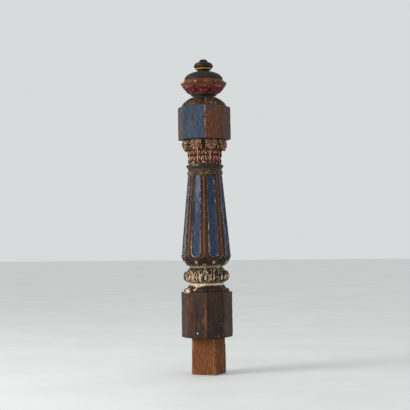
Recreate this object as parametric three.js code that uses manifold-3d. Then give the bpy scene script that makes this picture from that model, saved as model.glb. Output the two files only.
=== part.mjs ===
import * as THREE from 'three';
import { mergeVertices } from 'three/addons/utils/BufferGeometryUtils.js';
import Module from 'manifold-3d';

// Newel post carved from one baulk of timber, standing upright on its tenon.
// Millimetres, +Z up, the middle of the tenon's foot at the origin.
// An angle round the post is counted from -Y towards +X.

// Divisions of the ornament
const faces = 8;

// Tenon
const tenonHeight = 150;
const tenonFootWidth = 107;
const tenonHeadWidth = 104;
const tenonShift = 4;
const tenonCornerRadius = 7;
const tenonFootWear = 5;
const tenonRebateHeight = 33;
const tenonRebateDepth = 3;

// Lower block, a regular octagon
const lowerBlockHeight = 187;
const lowerBlockAcross = 198;
const lowerBlockWear = 3;

// Plinth, octagonal steps above the lower block
const plinthStepHeight = 11;
const plinthStepAcross = 176;
const plinthSlopeHeight = 6;
const plinthTaperHeight = 12;
const plinthWaistAcross = 150;
const plinthTopAcross = 138;

// Round fillet between the plinth and the torus
const filletHeight = 8;
const filletRadius = 73;

// Torus with lotus petals
const torusHeight = 67;
const torusRadius = 96.5;
const torusFootRadius = 70;
const torusBellyHeight = 27;
const torusShoulderDrop = 8;
const torusPetalRelief = 5.5;
const torusWidePetal = THREE.MathUtils.degToRad(27);

// Vase shaft with its ribs and sunk panels
const vaseHeight = 402;
const vaseNeckRadius = 68.5;
const vaseBellyRadius = 102.5;
const vaseBellyHeight = 54;
const vaseTopRadius = 70;
const ribGrooveDepth = 3.5;
const lowerLobeRelief = 6;
const vaseBellyLength = 35;
const vaseBellyTaper = 3;
const panelFoot = 42;
const panelHeadroom = 25;
const panelFootWidth = 36;
const panelHeadWidth = 23;
const panelDepth = 6;
const panelSet = 2.5;
const frameWidth = 5;
const frameHeight = 1.5;

// Buds under the panels and rosettes between their heads
const budRadius = 6;
const budLevel = 17;
const rosetteRadius = 7;
const rosetteHeadroom = 16;

// Collar between the shaft and the capital
const collarHeight = 20;
const collarRadius = 77.5;
const collarEdgeHeight = 12.5;
const collarEdgeThickness = 4;

// Capital of leaves that curl out under the upper block
const capitalHeight = 101;
const bellFootRadius = 64;
const bellLipRadius = 82;
const leafFootWidth = 44;
const leafNeckWidth = 36;
const leafCurlWidth = 50;
const leafTipWidth = 20;
const leafReach = 91;
const leafDroop = 38;
const leafThickness = 7;
const leafRib = 2;
const flowerRadius = 9;
const flowerLevel = 52;
const dartHeight = 34;
const dartRadius = 7;

// Upper block, a slightly uneven octagon
const upperBlockHeight = 136;
const upperBlockWidth = 206;
const upperBlockDepth = 197;
const upperFrontFace = 102;
const upperSideFace = 82;
const upperBlockWear = 2;

// Dome of leaves on the upper block
const domeHeight = 44;
const domeRadius = 94.5;
const domeCollarRadius = 57;
const domeCollarWidth = 7;
const domeCollarDrop = 6;
const domeLeafRelief = 3.5;

// Flat onion on its neck, with petals below the rim and a plain dome above
const neckRadius = 42;
const neckHeight = 4;
const onionFilletRadius = 51.5;
const onionFilletHeight = 5;
const bowlHeight = 43;
const bowlFootRadius = 56;
const bowlSwellRadius = 83;
const rimRadius = 94;
const rimThickness = 5;
const bowlPetalRelief = 4;
const shoulderRadius = 80;
const shoulderHeight = 15;
const onionDomeHeight = 36;

// Knob on top
const knobHeight = 48;
const knobNeckRadius = 23;
const knobRadius = 39;
const knobRimHeight = 18;
const buttonRadius = 20;
const buttonHeight = 11;
const buttonTopRadius = 9;

// Fineness of the turned and carved surfaces
const overlap = 4;
const vaseSteps = 4;
const roundSides = 32;
const torusSides = 48;
const knobSides = 20;
const studSides = 6;

// Levels, each worked out from the heights below it
const lowerBlockLevel = tenonHeight;
const plinthLevel = lowerBlockLevel + lowerBlockHeight;
const filletLevel = plinthLevel + plinthStepHeight + plinthSlopeHeight + plinthTaperHeight;
const torusLevel = filletLevel + filletHeight;
const vaseLevel = torusLevel + torusHeight;
const collarLevel = vaseLevel + vaseHeight;
const capitalLevel = collarLevel + collarHeight;
const upperBlockLevel = capitalLevel + capitalHeight;
const domeLevel = upperBlockLevel + upperBlockHeight;
const onionLevel = domeLevel + domeHeight;
const bowlLevel = onionLevel + neckHeight + onionFilletHeight;
const rimLevel = bowlLevel + bowlHeight;
const onionDomeLevel = rimLevel + rimThickness + shoulderHeight;
const knobLevel = onionDomeLevel + onionDomeHeight;

const panelHead = vaseHeight - panelHeadroom;
const sector = (2 * Math.PI) / faces;
const wasm = await Module();
wasm.setup();

// A closed three.js geometry as a solid that can be joined and cut
function solidOf(geometry) {
  const bare = new THREE.BufferGeometry();
  bare.setAttribute('position', geometry.getAttribute('position'));
  bare.setIndex(geometry.getIndex());
  const merged = mergeVertices(bare);
  const corners = merged.getIndex().array;
  const kept = [];
  for (let i = 0; i < corners.length; i += 3) {
    const [a, b, c] = corners.subarray(i, i + 3);
    if (a !== b && b !== c && c !== a) {
      kept.push(a, b, c);
    }
  }
  return new wasm.Manifold(new wasm.Mesh({
    numProp: 3,
    vertProperties: merged.getAttribute('position').array,
    triVerts: new Uint32Array(kept),
  }));
}

function geometryOf(solid) {
  const { vertProperties, triVerts } = solid.getMesh();
  const geometry = new THREE.BufferGeometry();
  geometry.setAttribute('position', new THREE.BufferAttribute(vertProperties, 3));
  geometry.setIndex(new THREE.BufferAttribute(triVerts, 1));
  geometry.computeVertexNormals();
  return geometry;
}

function unite(solids) {
  return solids.reduce((whole, solid) => whole.add(solid));
}

// A profile of radius and height, turned round the post's axis
function turned(path, divisions, sides, start = 0) {
  const geometry = new THREE.LatheGeometry(path.getPoints(divisions), sides, start, 2 * Math.PI);
  return geometry.rotateX(Math.PI / 2);
}

// The radius that a regular polygon needs at its corners for a width across its flats
function cornerRadius(across, sides = faces) {
  return across / 2 / Math.cos(Math.PI / sides);
}

// Moves each point of a turned surface outwards by a relief that depends on its angle and height
function carve(geometry, reliefAt) {
  const position = geometry.getAttribute('position');
  for (let i = 0; i < position.count; i += 1) {
    const x = position.getX(i);
    const y = position.getY(i);
    const radius = Math.hypot(x, y);
    if (radius > 1) {
      const stretch = 1 + reliefAt(Math.atan2(x, -y), position.getZ(i)) / radius;
      position.setXY(i, x * stretch, y * stretch);
    }
  }
  return geometry;
}

// The angle from the nearest line of a pattern that repeats on every face
function fromNearest(angle, phase = 0) {
  const turns = (angle - phase) / sector;
  return (turns - Math.round(turns)) * sector;
}

function smooth(value, low, high) {
  return THREE.MathUtils.smoothstep(value, low, high);
}

// One copy of a geometry for each face, the first one at the phase
function aroundPost(makeGeometry, phase = 0) {
  return Array.from({ length: faces }, (_, index) => (
    solidOf(makeGeometry().rotateZ(phase + index * sector))
  ));
}

function tenon() {
  const half = tenonFootWidth / 2;
  const outline = new THREE.Shape();
  const inset = half - tenonCornerRadius;
  outline.absarc(inset, inset, tenonCornerRadius, 0, Math.PI / 2);
  outline.absarc(-inset, inset, tenonCornerRadius, Math.PI / 2, Math.PI);
  outline.absarc(-inset, -inset, tenonCornerRadius, Math.PI, 1.5 * Math.PI);
  outline.absarc(inset, -inset, tenonCornerRadius, 1.5 * Math.PI, 2 * Math.PI);
  outline.closePath();
  const block = new THREE.ExtrudeGeometry(outline, {
    depth: tenonHeight,
    curveSegments: 2,
    bevelSize: tenonFootWear,
    bevelThickness: tenonFootWear,
    bevelOffset: -tenonFootWear,
    bevelSegments: 1,
  });
  block.translate(0, 0, tenonFootWear);
  const position = block.getAttribute('position');
  const taper = 1 - tenonHeadWidth / tenonFootWidth;
  for (let i = 0; i < position.count; i += 1) {
    const scale = 1 - taper * (position.getZ(i) / tenonHeight);
    position.setXY(i, position.getX(i) * scale, position.getY(i) * scale);
  }
  const rebate = new THREE.BoxGeometry(tenonFootWidth, 2 * tenonFootWidth, tenonRebateHeight);
  rebate.translate(
    tenonHeadWidth / 2 + tenonFootWidth / 2 - tenonRebateDepth,
    0,
    tenonHeight - tenonRebateHeight / 2,
  );
  return solidOf(block).subtract(solidOf(rebate)).translate(tenonShift, 0, 0);
}

// The lower block and the octagonal steps that stand on it
function lowerBlock() {
  const block = cornerRadius(lowerBlockAcross);
  const step = cornerRadius(plinthStepAcross);
  const waist = cornerRadius(plinthWaistAcross);
  const slopeLevel = plinthLevel + plinthStepHeight;
  const profile = new THREE.Path();
  profile.moveTo(0, lowerBlockLevel);
  profile.lineTo(block - lowerBlockWear, lowerBlockLevel);
  profile.lineTo(block, lowerBlockLevel + lowerBlockWear);
  profile.lineTo(block, plinthLevel - lowerBlockWear);
  profile.lineTo(block - lowerBlockWear, plinthLevel);
  profile.lineTo(step, plinthLevel);
  profile.lineTo(step, slopeLevel);
  profile.lineTo(waist, slopeLevel + plinthSlopeHeight);
  profile.lineTo(cornerRadius(plinthTopAcross), filletLevel);
  profile.lineTo(0, filletLevel);
  return solidOf(turned(profile, 1, faces, sector / 2));
}

function fillet() {
  const profile = new THREE.Path();
  profile.moveTo(0, filletLevel - overlap);
  profile.lineTo(filletRadius - 2 * overlap, filletLevel - overlap);
  profile.lineTo(filletRadius - overlap, filletLevel - 1);
  profile.quadraticCurveTo(filletRadius + overlap, filletLevel + filletHeight / 2,
    filletRadius - overlap, torusLevel);
  profile.lineTo(0, torusLevel + overlap);
  return solidOf(turned(profile, 2, roundSides));
}

// Wide petals on the corners of the octagon and narrow ones between them, parted by grooves
function torusRelief(angle, level) {
  const fromCorner = Math.abs(fromNearest(angle, sector / 2));
  const groove = smooth(Math.abs(fromCorner - torusWidePetal / 2), 0, torusWidePetal / 4);
  const height = (level - torusLevel) / torusHeight;
  const fade = smooth(height, 0.02, 0.15) * (1 - smooth(height, 0.8, 0.98));
  return -torusPetalRelief * (1 - groove) * fade;
}

function torus() {
  const profile = new THREE.Path();
  profile.moveTo(0, torusLevel - overlap);
  profile.lineTo(torusFootRadius, torusLevel - overlap);
  profile.lineTo(torusFootRadius, torusLevel + 1);
  profile.quadraticCurveTo(torusRadius, torusLevel + overlap,
    torusRadius, torusLevel + torusBellyHeight);
  profile.quadraticCurveTo(torusRadius, (torusLevel + torusBellyHeight + vaseLevel) / 2,
    vaseNeckRadius + 3, vaseLevel - torusShoulderDrop);
  profile.lineTo(vaseNeckRadius - 1, vaseLevel);
  profile.lineTo(0, vaseLevel + overlap);
  return solidOf(carve(turned(profile, 3, torusSides), torusRelief));
}

// The shaft between the panels: a ridge on each corner of the octagon with a groove on either side
// of it, and lobes round the foot below the panels
function vaseRelief(angle, level) {
  const fromCorner = Math.abs(fromNearest(angle, sector / 2));
  const height = level - vaseLevel;
  const aboveFoot = smooth(height, panelFoot / 2, panelFoot);
  const belowHead = 1 - smooth(height, panelHead - 5, panelHead + 5);
  const groove = ribGrooveDepth * smooth(fromCorner, 0, sector / 4);
  const lobe = lowerLobeRelief * smooth(Math.abs(fromNearest(angle)), 0, sector / 2);
  const lobeFade = (1 - aboveFoot) * smooth(height, 0, panelFoot / 4);
  return -groove * aboveFoot * belowHead - lobe * lobeFade;
}

function vaseProfile() {
  const profile = new THREE.Path();
  profile.moveTo(0, vaseLevel - overlap);
  profile.lineTo(vaseNeckRadius, vaseLevel - overlap);
  profile.lineTo(vaseNeckRadius, vaseLevel);
  profile.quadraticCurveTo(vaseBellyRadius, vaseLevel + vaseBellyHeight * 0.27,
    vaseBellyRadius, vaseLevel + vaseBellyHeight);
  profile.lineTo(vaseBellyRadius - vaseBellyTaper,
    vaseLevel + vaseBellyHeight + vaseBellyLength);
  profile.lineTo(vaseTopRadius + 1, vaseLevel + panelHead);
  profile.lineTo(vaseTopRadius, collarLevel);
  profile.lineTo(0, collarLevel + overlap);
  return profile;
}

// The shaft's radius at a level, for what is set on it
function vaseRadiusAt(level) {
  const points = vaseProfile().getPoints(vaseSteps);
  const upper = points.findIndex((point) => point.y > level);
  const low = points[upper - 1];
  const high = points[upper];
  return THREE.MathUtils.mapLinear(level, low.y, high.y, low.x, high.x);
}

function vase() {
  return solidOf(carve(turned(vaseProfile(), vaseSteps, roundSides), vaseRelief));
}

// A panel's outline, round at both ends and wider at its foot, lying against the leaning shaft
function panelBlock(margin, inner, outer) {
  const footRadius = panelFootWidth / 2;
  const headRadius = panelHeadWidth / 2;
  const footCentre = panelFoot + footRadius;
  const headCentre = panelHead - headRadius;
  const low = vaseRadiusAt(vaseLevel + footCentre);
  const lean = Math.atan2(low - vaseRadiusAt(vaseLevel + headCentre), headCentre - footCentre);
  const length = (headCentre - footCentre) / Math.cos(lean);
  const outline = new THREE.Shape();
  outline.absarc(0, 0, footRadius + margin, Math.PI, 2 * Math.PI);
  outline.absarc(0, length, headRadius + margin, 0, Math.PI);
  outline.closePath();
  const block = new THREE.ExtrudeGeometry(outline, {
    depth: outer - inner,
    curveSegments: 4,
    bevelEnabled: false,
  });
  block.translate(0, 0, inner);
  block.rotateX(Math.PI / 2 - lean);
  return block.translate(0, panelSet - low, vaseLevel + footCentre);
}

function panelFrames() {
  return aroundPost(() => panelBlock(frameWidth, -2 * panelDepth, frameHeight));
}

function panelCuts() {
  return aroundPost(() => panelBlock(0, frameHeight - panelDepth, 2 * panelDepth));
}

// Small round ornaments, flattened against the post
function studs(radius, distance, level, phase) {
  return aroundPost(() => {
    const ball = new THREE.SphereGeometry(radius, studSides, 3);
    return ball.scale(1, 0.6, 1).translate(0, -distance, level);
  }, phase);
}

function collar() {
  const profile = new THREE.Path();
  profile.moveTo(0, collarLevel - overlap);
  profile.lineTo(vaseTopRadius - overlap, collarLevel - overlap);
  profile.quadraticCurveTo(collarRadius, collarLevel + collarEdgeHeight / 2,
    collarRadius, collarLevel + collarEdgeHeight);
  profile.lineTo(collarRadius - 2, collarLevel + collarEdgeHeight + collarEdgeThickness);
  profile.lineTo(bellFootRadius - overlap, capitalLevel);
  profile.lineTo(0, capitalLevel);
  return solidOf(turned(profile, 3, roundSides));
}

function bell() {
  const profile = new THREE.Path();
  profile.moveTo(0, capitalLevel - overlap);
  profile.lineTo(bellFootRadius, capitalLevel - overlap);
  profile.lineTo(bellFootRadius, capitalLevel);
  profile.quadraticCurveTo(bellFootRadius + 2, capitalLevel + capitalHeight * 0.8,
    bellLipRadius, upperBlockLevel + 1);
  profile.lineTo(0, upperBlockLevel + overlap);
  return solidOf(turned(profile, 3, roundSides));
}

// One leaf climbs the bell, bends out under the block and hangs down in a rolled tip
function leaf() {
  const top = capitalHeight - leafThickness / 2;
  const spine = new THREE.SplineCurve([
    new THREE.Vector2(bellFootRadius + 1, 0),
    new THREE.Vector2(bellFootRadius + 2, top * 0.3),
    new THREE.Vector2(bellFootRadius + 5, top * 0.57),
    new THREE.Vector2(leafReach - 15, top * 0.85),
    new THREE.Vector2(leafReach - 6, top),
    new THREE.Vector2(leafReach, top - leafDroop * 0.3),
    new THREE.Vector2(leafReach, top - leafDroop * 0.65),
    new THREE.Vector2(leafReach - 4, top - leafDroop),
  ]);
  const widths = new THREE.SplineCurve(
    [leafFootWidth * 0.8, leafFootWidth, leafNeckWidth, leafCurlWidth, leafTipWidth]
      .map((width, station) => new THREE.Vector2(station, width)),
  );
  const strip = new THREE.BoxGeometry(2, 1, 1, 4, 1, 8);
  const position = strip.getAttribute('position');
  for (let i = 0; i < position.count; i += 1) {
    const across = position.getX(i);
    const along = position.getZ(i) + 0.5;
    const middle = spine.getPointAt(along);
    const direction = spine.getTangentAt(along);
    const side = position.getY(i);
    const fold = side > 0 ? leafRib * Math.cos(2 * Math.PI * across) : 0;
    const rise = leafThickness * side + fold;
    const radius = middle.x + direction.y * rise;
    const aside = -across * 0.5 * widths.getPoint(along).y;
    const angle = aside / radius;
    position.setXYZ(i, radius * Math.sin(angle), -radius * Math.cos(angle),
      capitalLevel + middle.y - direction.x * rise);
  }
  return strip;
}

function dart() {
  const cone = new THREE.ConeGeometry(dartRadius, dartHeight, studSides);
  cone.rotateX(Math.PI / 2);
  return cone.translate(0, -bellFootRadius - 2, capitalLevel + dartHeight / 2);
}

function upperBlock() {
  const x = upperBlockWidth / 2;
  const y = upperBlockDepth / 2;
  const frontHalf = upperFrontFace / 2;
  const sideHalf = upperSideFace / 2;
  const outline = new THREE.Shape([
    new THREE.Vector2(frontHalf, y),
    new THREE.Vector2(-frontHalf, y),
    new THREE.Vector2(-x, sideHalf),
    new THREE.Vector2(-x, -sideHalf),
    new THREE.Vector2(-frontHalf, -y),
    new THREE.Vector2(frontHalf, -y),
    new THREE.Vector2(x, -sideHalf),
    new THREE.Vector2(x, sideHalf),
  ]);
  const block = new THREE.ExtrudeGeometry(outline, {
    depth: upperBlockHeight - 2 * upperBlockWear,
    bevelSize: upperBlockWear,
    bevelThickness: upperBlockWear,
    bevelOffset: -upperBlockWear,
    bevelSegments: 1,
  });
  return solidOf(block.translate(0, 0, upperBlockLevel + upperBlockWear));
}

// Leaves centred on the faces, each with a raised midrib
function domeRelief(angle, level) {
  const fromFace = Math.abs(fromNearest(angle)) / (sector / 2);
  const midrib = 1 - smooth(fromFace, 0, 0.25);
  const edge = smooth(fromFace, 0.6, 1);
  const fade = 1 - smooth(level - domeLevel, domeHeight * 0.7, domeHeight * 0.9);
  return domeLeafRelief * (0.4 * midrib - edge) * fade;
}

function dome() {
  const profile = new THREE.Path();
  profile.moveTo(0, domeLevel - overlap);
  profile.lineTo(domeRadius, domeLevel - overlap);
  profile.lineTo(domeRadius, domeLevel + 2);
  profile.quadraticCurveTo(domeRadius - 2, domeLevel + domeHeight * 0.55,
    domeCollarRadius, onionLevel - domeCollarDrop);
  profile.lineTo(domeCollarRadius - domeCollarWidth, onionLevel - domeCollarDrop / 3);
  profile.lineTo(neckRadius - 1, onionLevel);
  profile.lineTo(0, onionLevel);
  return solidOf(carve(turned(profile, 4, roundSides), domeRelief));
}

// Petals that hang from the rim of the onion, centred on the corners of the octagon
function bowlRelief(angle, level) {
  const fromCorner = Math.abs(fromNearest(angle, sector / 2)) / (sector / 2);
  const height = (level - bowlLevel) / bowlHeight;
  const fade = smooth(height, 0, 0.2) * (1 - smooth(height, 0.7, 0.85));
  return -bowlPetalRelief * smooth(fromCorner, 0.6, 1) * fade;
}

function onion() {
  const filletLow = onionLevel + neckHeight;
  const shoulderLow = rimLevel + rimThickness;
  const profile = new THREE.Path();
  profile.moveTo(0, onionLevel - overlap);
  profile.lineTo(neckRadius, onionLevel - overlap);
  profile.lineTo(neckRadius, filletLow);
  profile.lineTo(onionFilletRadius, filletLow);
  profile.lineTo(onionFilletRadius, bowlLevel);
  profile.lineTo(bowlFootRadius, bowlLevel);
  profile.quadraticCurveTo(bowlSwellRadius, bowlLevel + bowlHeight * 0.18,
    rimRadius, rimLevel);
  profile.lineTo(rimRadius, shoulderLow);
  profile.quadraticCurveTo(shoulderRadius + 1, shoulderLow + shoulderHeight * 0.4,
    shoulderRadius, onionDomeLevel);
  profile.absellipse(0, onionDomeLevel, shoulderRadius, onionDomeHeight, 0, Math.PI / 2);
  return solidOf(carve(turned(profile, 3, roundSides), bowlRelief));
}

function knob() {
  const buttonLevel = knobLevel + knobHeight - buttonHeight;
  const profile = new THREE.Path();
  profile.moveTo(0, knobLevel - 2 * overlap);
  profile.lineTo(knobNeckRadius, knobLevel - 2 * overlap);
  profile.lineTo(knobNeckRadius, knobLevel + 1);
  profile.lineTo(knobRadius * 0.8, knobLevel + knobRimHeight / 3);
  profile.lineTo(knobRadius, knobLevel + knobRimHeight);
  profile.quadraticCurveTo(knobRadius * 0.97, buttonLevel - 3, buttonRadius, buttonLevel);
  profile.quadraticCurveTo(buttonRadius * 0.8, buttonLevel + buttonHeight * 0.9,
    buttonTopRadius, buttonLevel + buttonHeight);
  profile.lineTo(0, buttonLevel + buttonHeight);
  return solidOf(turned(profile, 3, knobSides));
}

function carvedPost() {
  const corner = sector / 2;
  const budAt = vaseLevel + budLevel;
  const rosetteAt = collarLevel - rosetteHeadroom;
  const shaft = unite([vase(), ...panelFrames()]);
  const sunk = panelCuts().reduce((whole, cut) => whole.subtract(cut), shaft);
  return unite([
    tenon(),
    lowerBlock(),
    fillet(),
    torus(),
    sunk,
    ...studs(budRadius, vaseRadiusAt(budAt), budAt, 0),
    ...studs(rosetteRadius, vaseRadiusAt(rosetteAt), rosetteAt, corner),
    collar(),
    bell(),
    ...aroundPost(leaf),
    ...aroundPost(dart, corner),
    ...studs(flowerRadius, bellFootRadius + 4, capitalLevel + flowerLevel, corner),
    upperBlock(),
    dome(),
    onion(),
    knob(),
  ]);
}

const paintedWood = new THREE.MeshStandardMaterial({
  color: 0x4b3528,
  roughness: 0.7,
  metalness: 0,
});

const post = new THREE.Mesh(geometryOf(carvedPost()), paintedWood);
post.name = 'newel_post';

const group = new THREE.Group();
group.add(post);

export default group;
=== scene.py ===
"""A carved and painted newel post: its carving, its old paint, and the studio round it.

Sizes of the post are in millimetres and angles round it are counted from -Y towards +X.
Finished meshes are in metres, in the frame's own coordinates.
"""

import logging
import math
from collections.abc import Callable
from dataclasses import dataclass, fields
from enum import Enum

import bmesh
import bpy
import numpy as np
from mathutils import Matrix, Vector


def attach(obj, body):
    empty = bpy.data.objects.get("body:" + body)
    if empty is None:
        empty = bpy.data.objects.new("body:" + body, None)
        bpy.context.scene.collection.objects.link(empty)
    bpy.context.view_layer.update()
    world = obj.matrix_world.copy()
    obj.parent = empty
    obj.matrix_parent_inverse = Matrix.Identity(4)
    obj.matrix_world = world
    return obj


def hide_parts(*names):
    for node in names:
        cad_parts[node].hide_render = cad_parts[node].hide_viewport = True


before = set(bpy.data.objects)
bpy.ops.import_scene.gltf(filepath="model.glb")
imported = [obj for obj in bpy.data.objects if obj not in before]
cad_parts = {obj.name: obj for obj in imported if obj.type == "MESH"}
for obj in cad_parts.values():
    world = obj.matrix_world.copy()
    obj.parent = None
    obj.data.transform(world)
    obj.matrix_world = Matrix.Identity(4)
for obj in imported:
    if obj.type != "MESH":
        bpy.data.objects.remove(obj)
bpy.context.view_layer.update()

log = logging.getLogger("newel_post")
NODE = "newel_post"
BODY = "root"
MM = 0.001
FACES = 8
FULL_TURN = 2 * math.pi
SECTOR = FULL_TURN / FACES
CORNER = SECTOR / 2
OVERLAP = 4.0
SHARP_ANGLE = 50

Array = np.ndarray
Size = tuple[float, float, float]
Range = tuple[float, float]
Colour = tuple[float, float, float]
Screen = tuple[int, int, int]
Feed = "Value | float | Colour"


def srgb(red: int, green: int, blue: int) -> Colour:
    """Turns a colour as a screen shows it, 0 to 255, into the linear one that shaders take.

    Args:
        red: The colour's red, 0 to 255.
        green: Its green.
        blue: Its blue.

    Returns:
        The linear red, green and blue, 0 to 1.
    """
    def linear(level: int) -> float:
        """Undoes the screen's curve for one channel."""
        share = level / 255
        return share / 12.92 if share <= 0.04045 else ((share + 0.055) / 1.055) ** 2.4
    return linear(red), linear(green), linear(blue)


def smooth(value: Array, low: float, high: float) -> Array:
    """Rises smoothly from 0 at low to 1 at high, or falls where high is the lower one."""
    share = np.clip((value - low) / (high - low), 0, 1)
    return share * share * (3 - 2 * share)


def ridge(distance: Array, half_width: float | Array) -> Array:
    """A rounded ridge: 1 on its line and 0 at its half width and beyond."""
    return np.cos(np.clip(np.abs(distance) / half_width, 0, 1) * np.pi / 2)


def nearest(angle: Array, phase: float = 0.0, step: float = SECTOR) -> Array:
    """The angle from the nearest line of a pattern that repeats round the post."""
    turns = (angle - phase) / step
    return (turns - np.round(turns)) * step


def mixed(low: Array | float, high: Array | float, share: Array) -> Array:
    """Goes from low to high as the share goes from 0 to 1."""
    return low * (1 - share) + high * share


def through(stations: list[float], share: Array) -> Array:
    """A smooth curve through evenly spaced values.

    Args:
        stations: The values that the curve passes through.
        share: Where along the curve, from 0 to 1.

    Returns:
        The curve's value at each share.
    """
    knots = np.array(stations, float)
    place = np.clip(share, 0, 1) * (len(knots) - 1)
    low = np.minimum(place.astype(int), len(knots) - 2)
    part = place - low
    before, start = knots[np.maximum(low - 1, 0)], knots[low]
    end, after = knots[low + 1], knots[np.minimum(low + 2, len(knots) - 1)]
    rise = 2 * before - 5 * start + 4 * end - after
    bend = 3 * (start - end) + after - before
    return start + 0.5 * part * (end - before + part * (rise + part * bend))


class Unevenness:
    """Seeded soft noise in space, for dents, wear and patches that are worked out in code."""

    def __init__(self, seed: int, cells: int = 24) -> None:
        """Fills a block of cells with seeded random levels."""
        self.cells = cells
        self.levels = np.random.default_rng(seed).random((cells, cells, cells))

    def at(self, points: Array, size: Size) -> Array:
        """Reads the noise.

        Args:
            points: Places, one row each, in millimetres.
            size: The size of one cell along each axis, in millimetres.

        Returns:
            A level from 0 to 1 for each place.
        """
        cell = points / np.array(size)
        base = np.floor(cell).astype(int)
        part = cell - base
        part = part * part * (3 - 2 * part)
        total = np.zeros(len(points))
        for corner in np.ndindex(2, 2, 2):
            weight = np.prod(np.where(corner, part, 1 - part), axis=1)
            index = (base + corner) % self.cells
            total += weight * self.levels[index[:, 0], index[:, 1], index[:, 2]]
        return total

    def rough(self, points: Array, size: Size) -> Array:
        """The same noise with finer noise on top, from 0 to 1.

        Args:
            points: Places, one row each, in millimetres.
            size: The size of one cell of the coarsest noise.

        Returns:
            A level from 0 to 1 for each place.
        """
        half = tuple(length / 2.1 for length in size)
        quarter = tuple(length / 4.3 for length in size)
        coarse, middle, fine = (self.at(points, cell) for cell in (size, half, quarter))
        return (coarse * 4 + middle * 2 + fine) / 7


@dataclass(frozen=True)
class Heights:
    """The heights of the post's sections from the floor up, in millimetres."""

    tenon: float = 150
    lower_block: float = 187
    plinth: float = 29
    fillet: float = 8
    torus: float = 67
    vase: float = 402
    collar: float = 20
    capital: float = 101
    upper_block: float = 136
    dome: float = 44
    onion: float = 108
    knob: float = 48

    def level(self, section: str) -> float:
        """The level at which a section starts, above the post's lowest point.

        Args:
            section: The section's name.

        Returns:
            The level, in millimetres.
        """
        below = 0.0
        for item in fields(self):
            if item.name == section:
                return below
            below += getattr(self, item.name)
        raise KeyError(section)


HEIGHTS = Heights()


class Outline:
    """A turned profile of radius and level, drawn with straight lines and curves."""

    def __init__(self, radius: float, level: float, step: float) -> None:
        """Starts the profile at a point; step is the longest piece of it that shows."""
        self.points = [(radius, level)]
        self.step = step

    def jump(self, radius: float, level: float) -> "Outline":
        """One straight piece, for a stretch that doesn't show."""
        self.points.append((radius, level))
        return self

    def line(self, radius: float, level: float) -> "Outline":
        """A straight line in short pieces.

        Args:
            radius: The line's end, away from the axis.
            level: The end's level.

        Returns:
            The outline, for the next stretch.
        """
        start_radius, start_level = self.points[-1]
        middle = (start_radius + radius) / 2, (start_level + level) / 2
        return self.curve(*middle, radius, level)

    def curve(self, by_radius: float, by_level: float, radius: float, level: float) -> "Outline":
        """A curve that bends towards a point on its way.

        Args:
            by_radius: The point that it bends towards, away from the axis.
            by_level: That point's level.
            radius: The curve's end, away from the axis.
            level: The end's level.

        Returns:
            The outline, for the next stretch.
        """
        start = np.array(self.points[-1])
        by, end = np.array((by_radius, by_level)), np.array((radius, level))
        length = np.linalg.norm(by - start) + np.linalg.norm(end - by)
        pieces = max(1, math.ceil(length / self.step))
        for share in np.linspace(0, 1, pieces + 1)[1:]:
            point = start * (1 - share) ** 2 + 2 * by * share * (1 - share) + end * share ** 2
            self.points.append((float(point[0]), float(point[1])))
        return self

    def crown(self, height: float) -> "Outline":
        """A quarter of an ellipse, up to the post's axis.

        Args:
            height: How high the ellipse rises.

        Returns:
            The closed outline.
        """
        radius, level = self.points[-1]
        pieces = max(8, math.ceil((radius + height) / self.step * 0.8))
        for turn in np.linspace(0, math.pi / 2, pieces + 1)[1:-1]:
            self.points.append((radius * math.cos(turn), level + height * math.sin(turn)))
        return self.jump(0, level + height)


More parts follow.
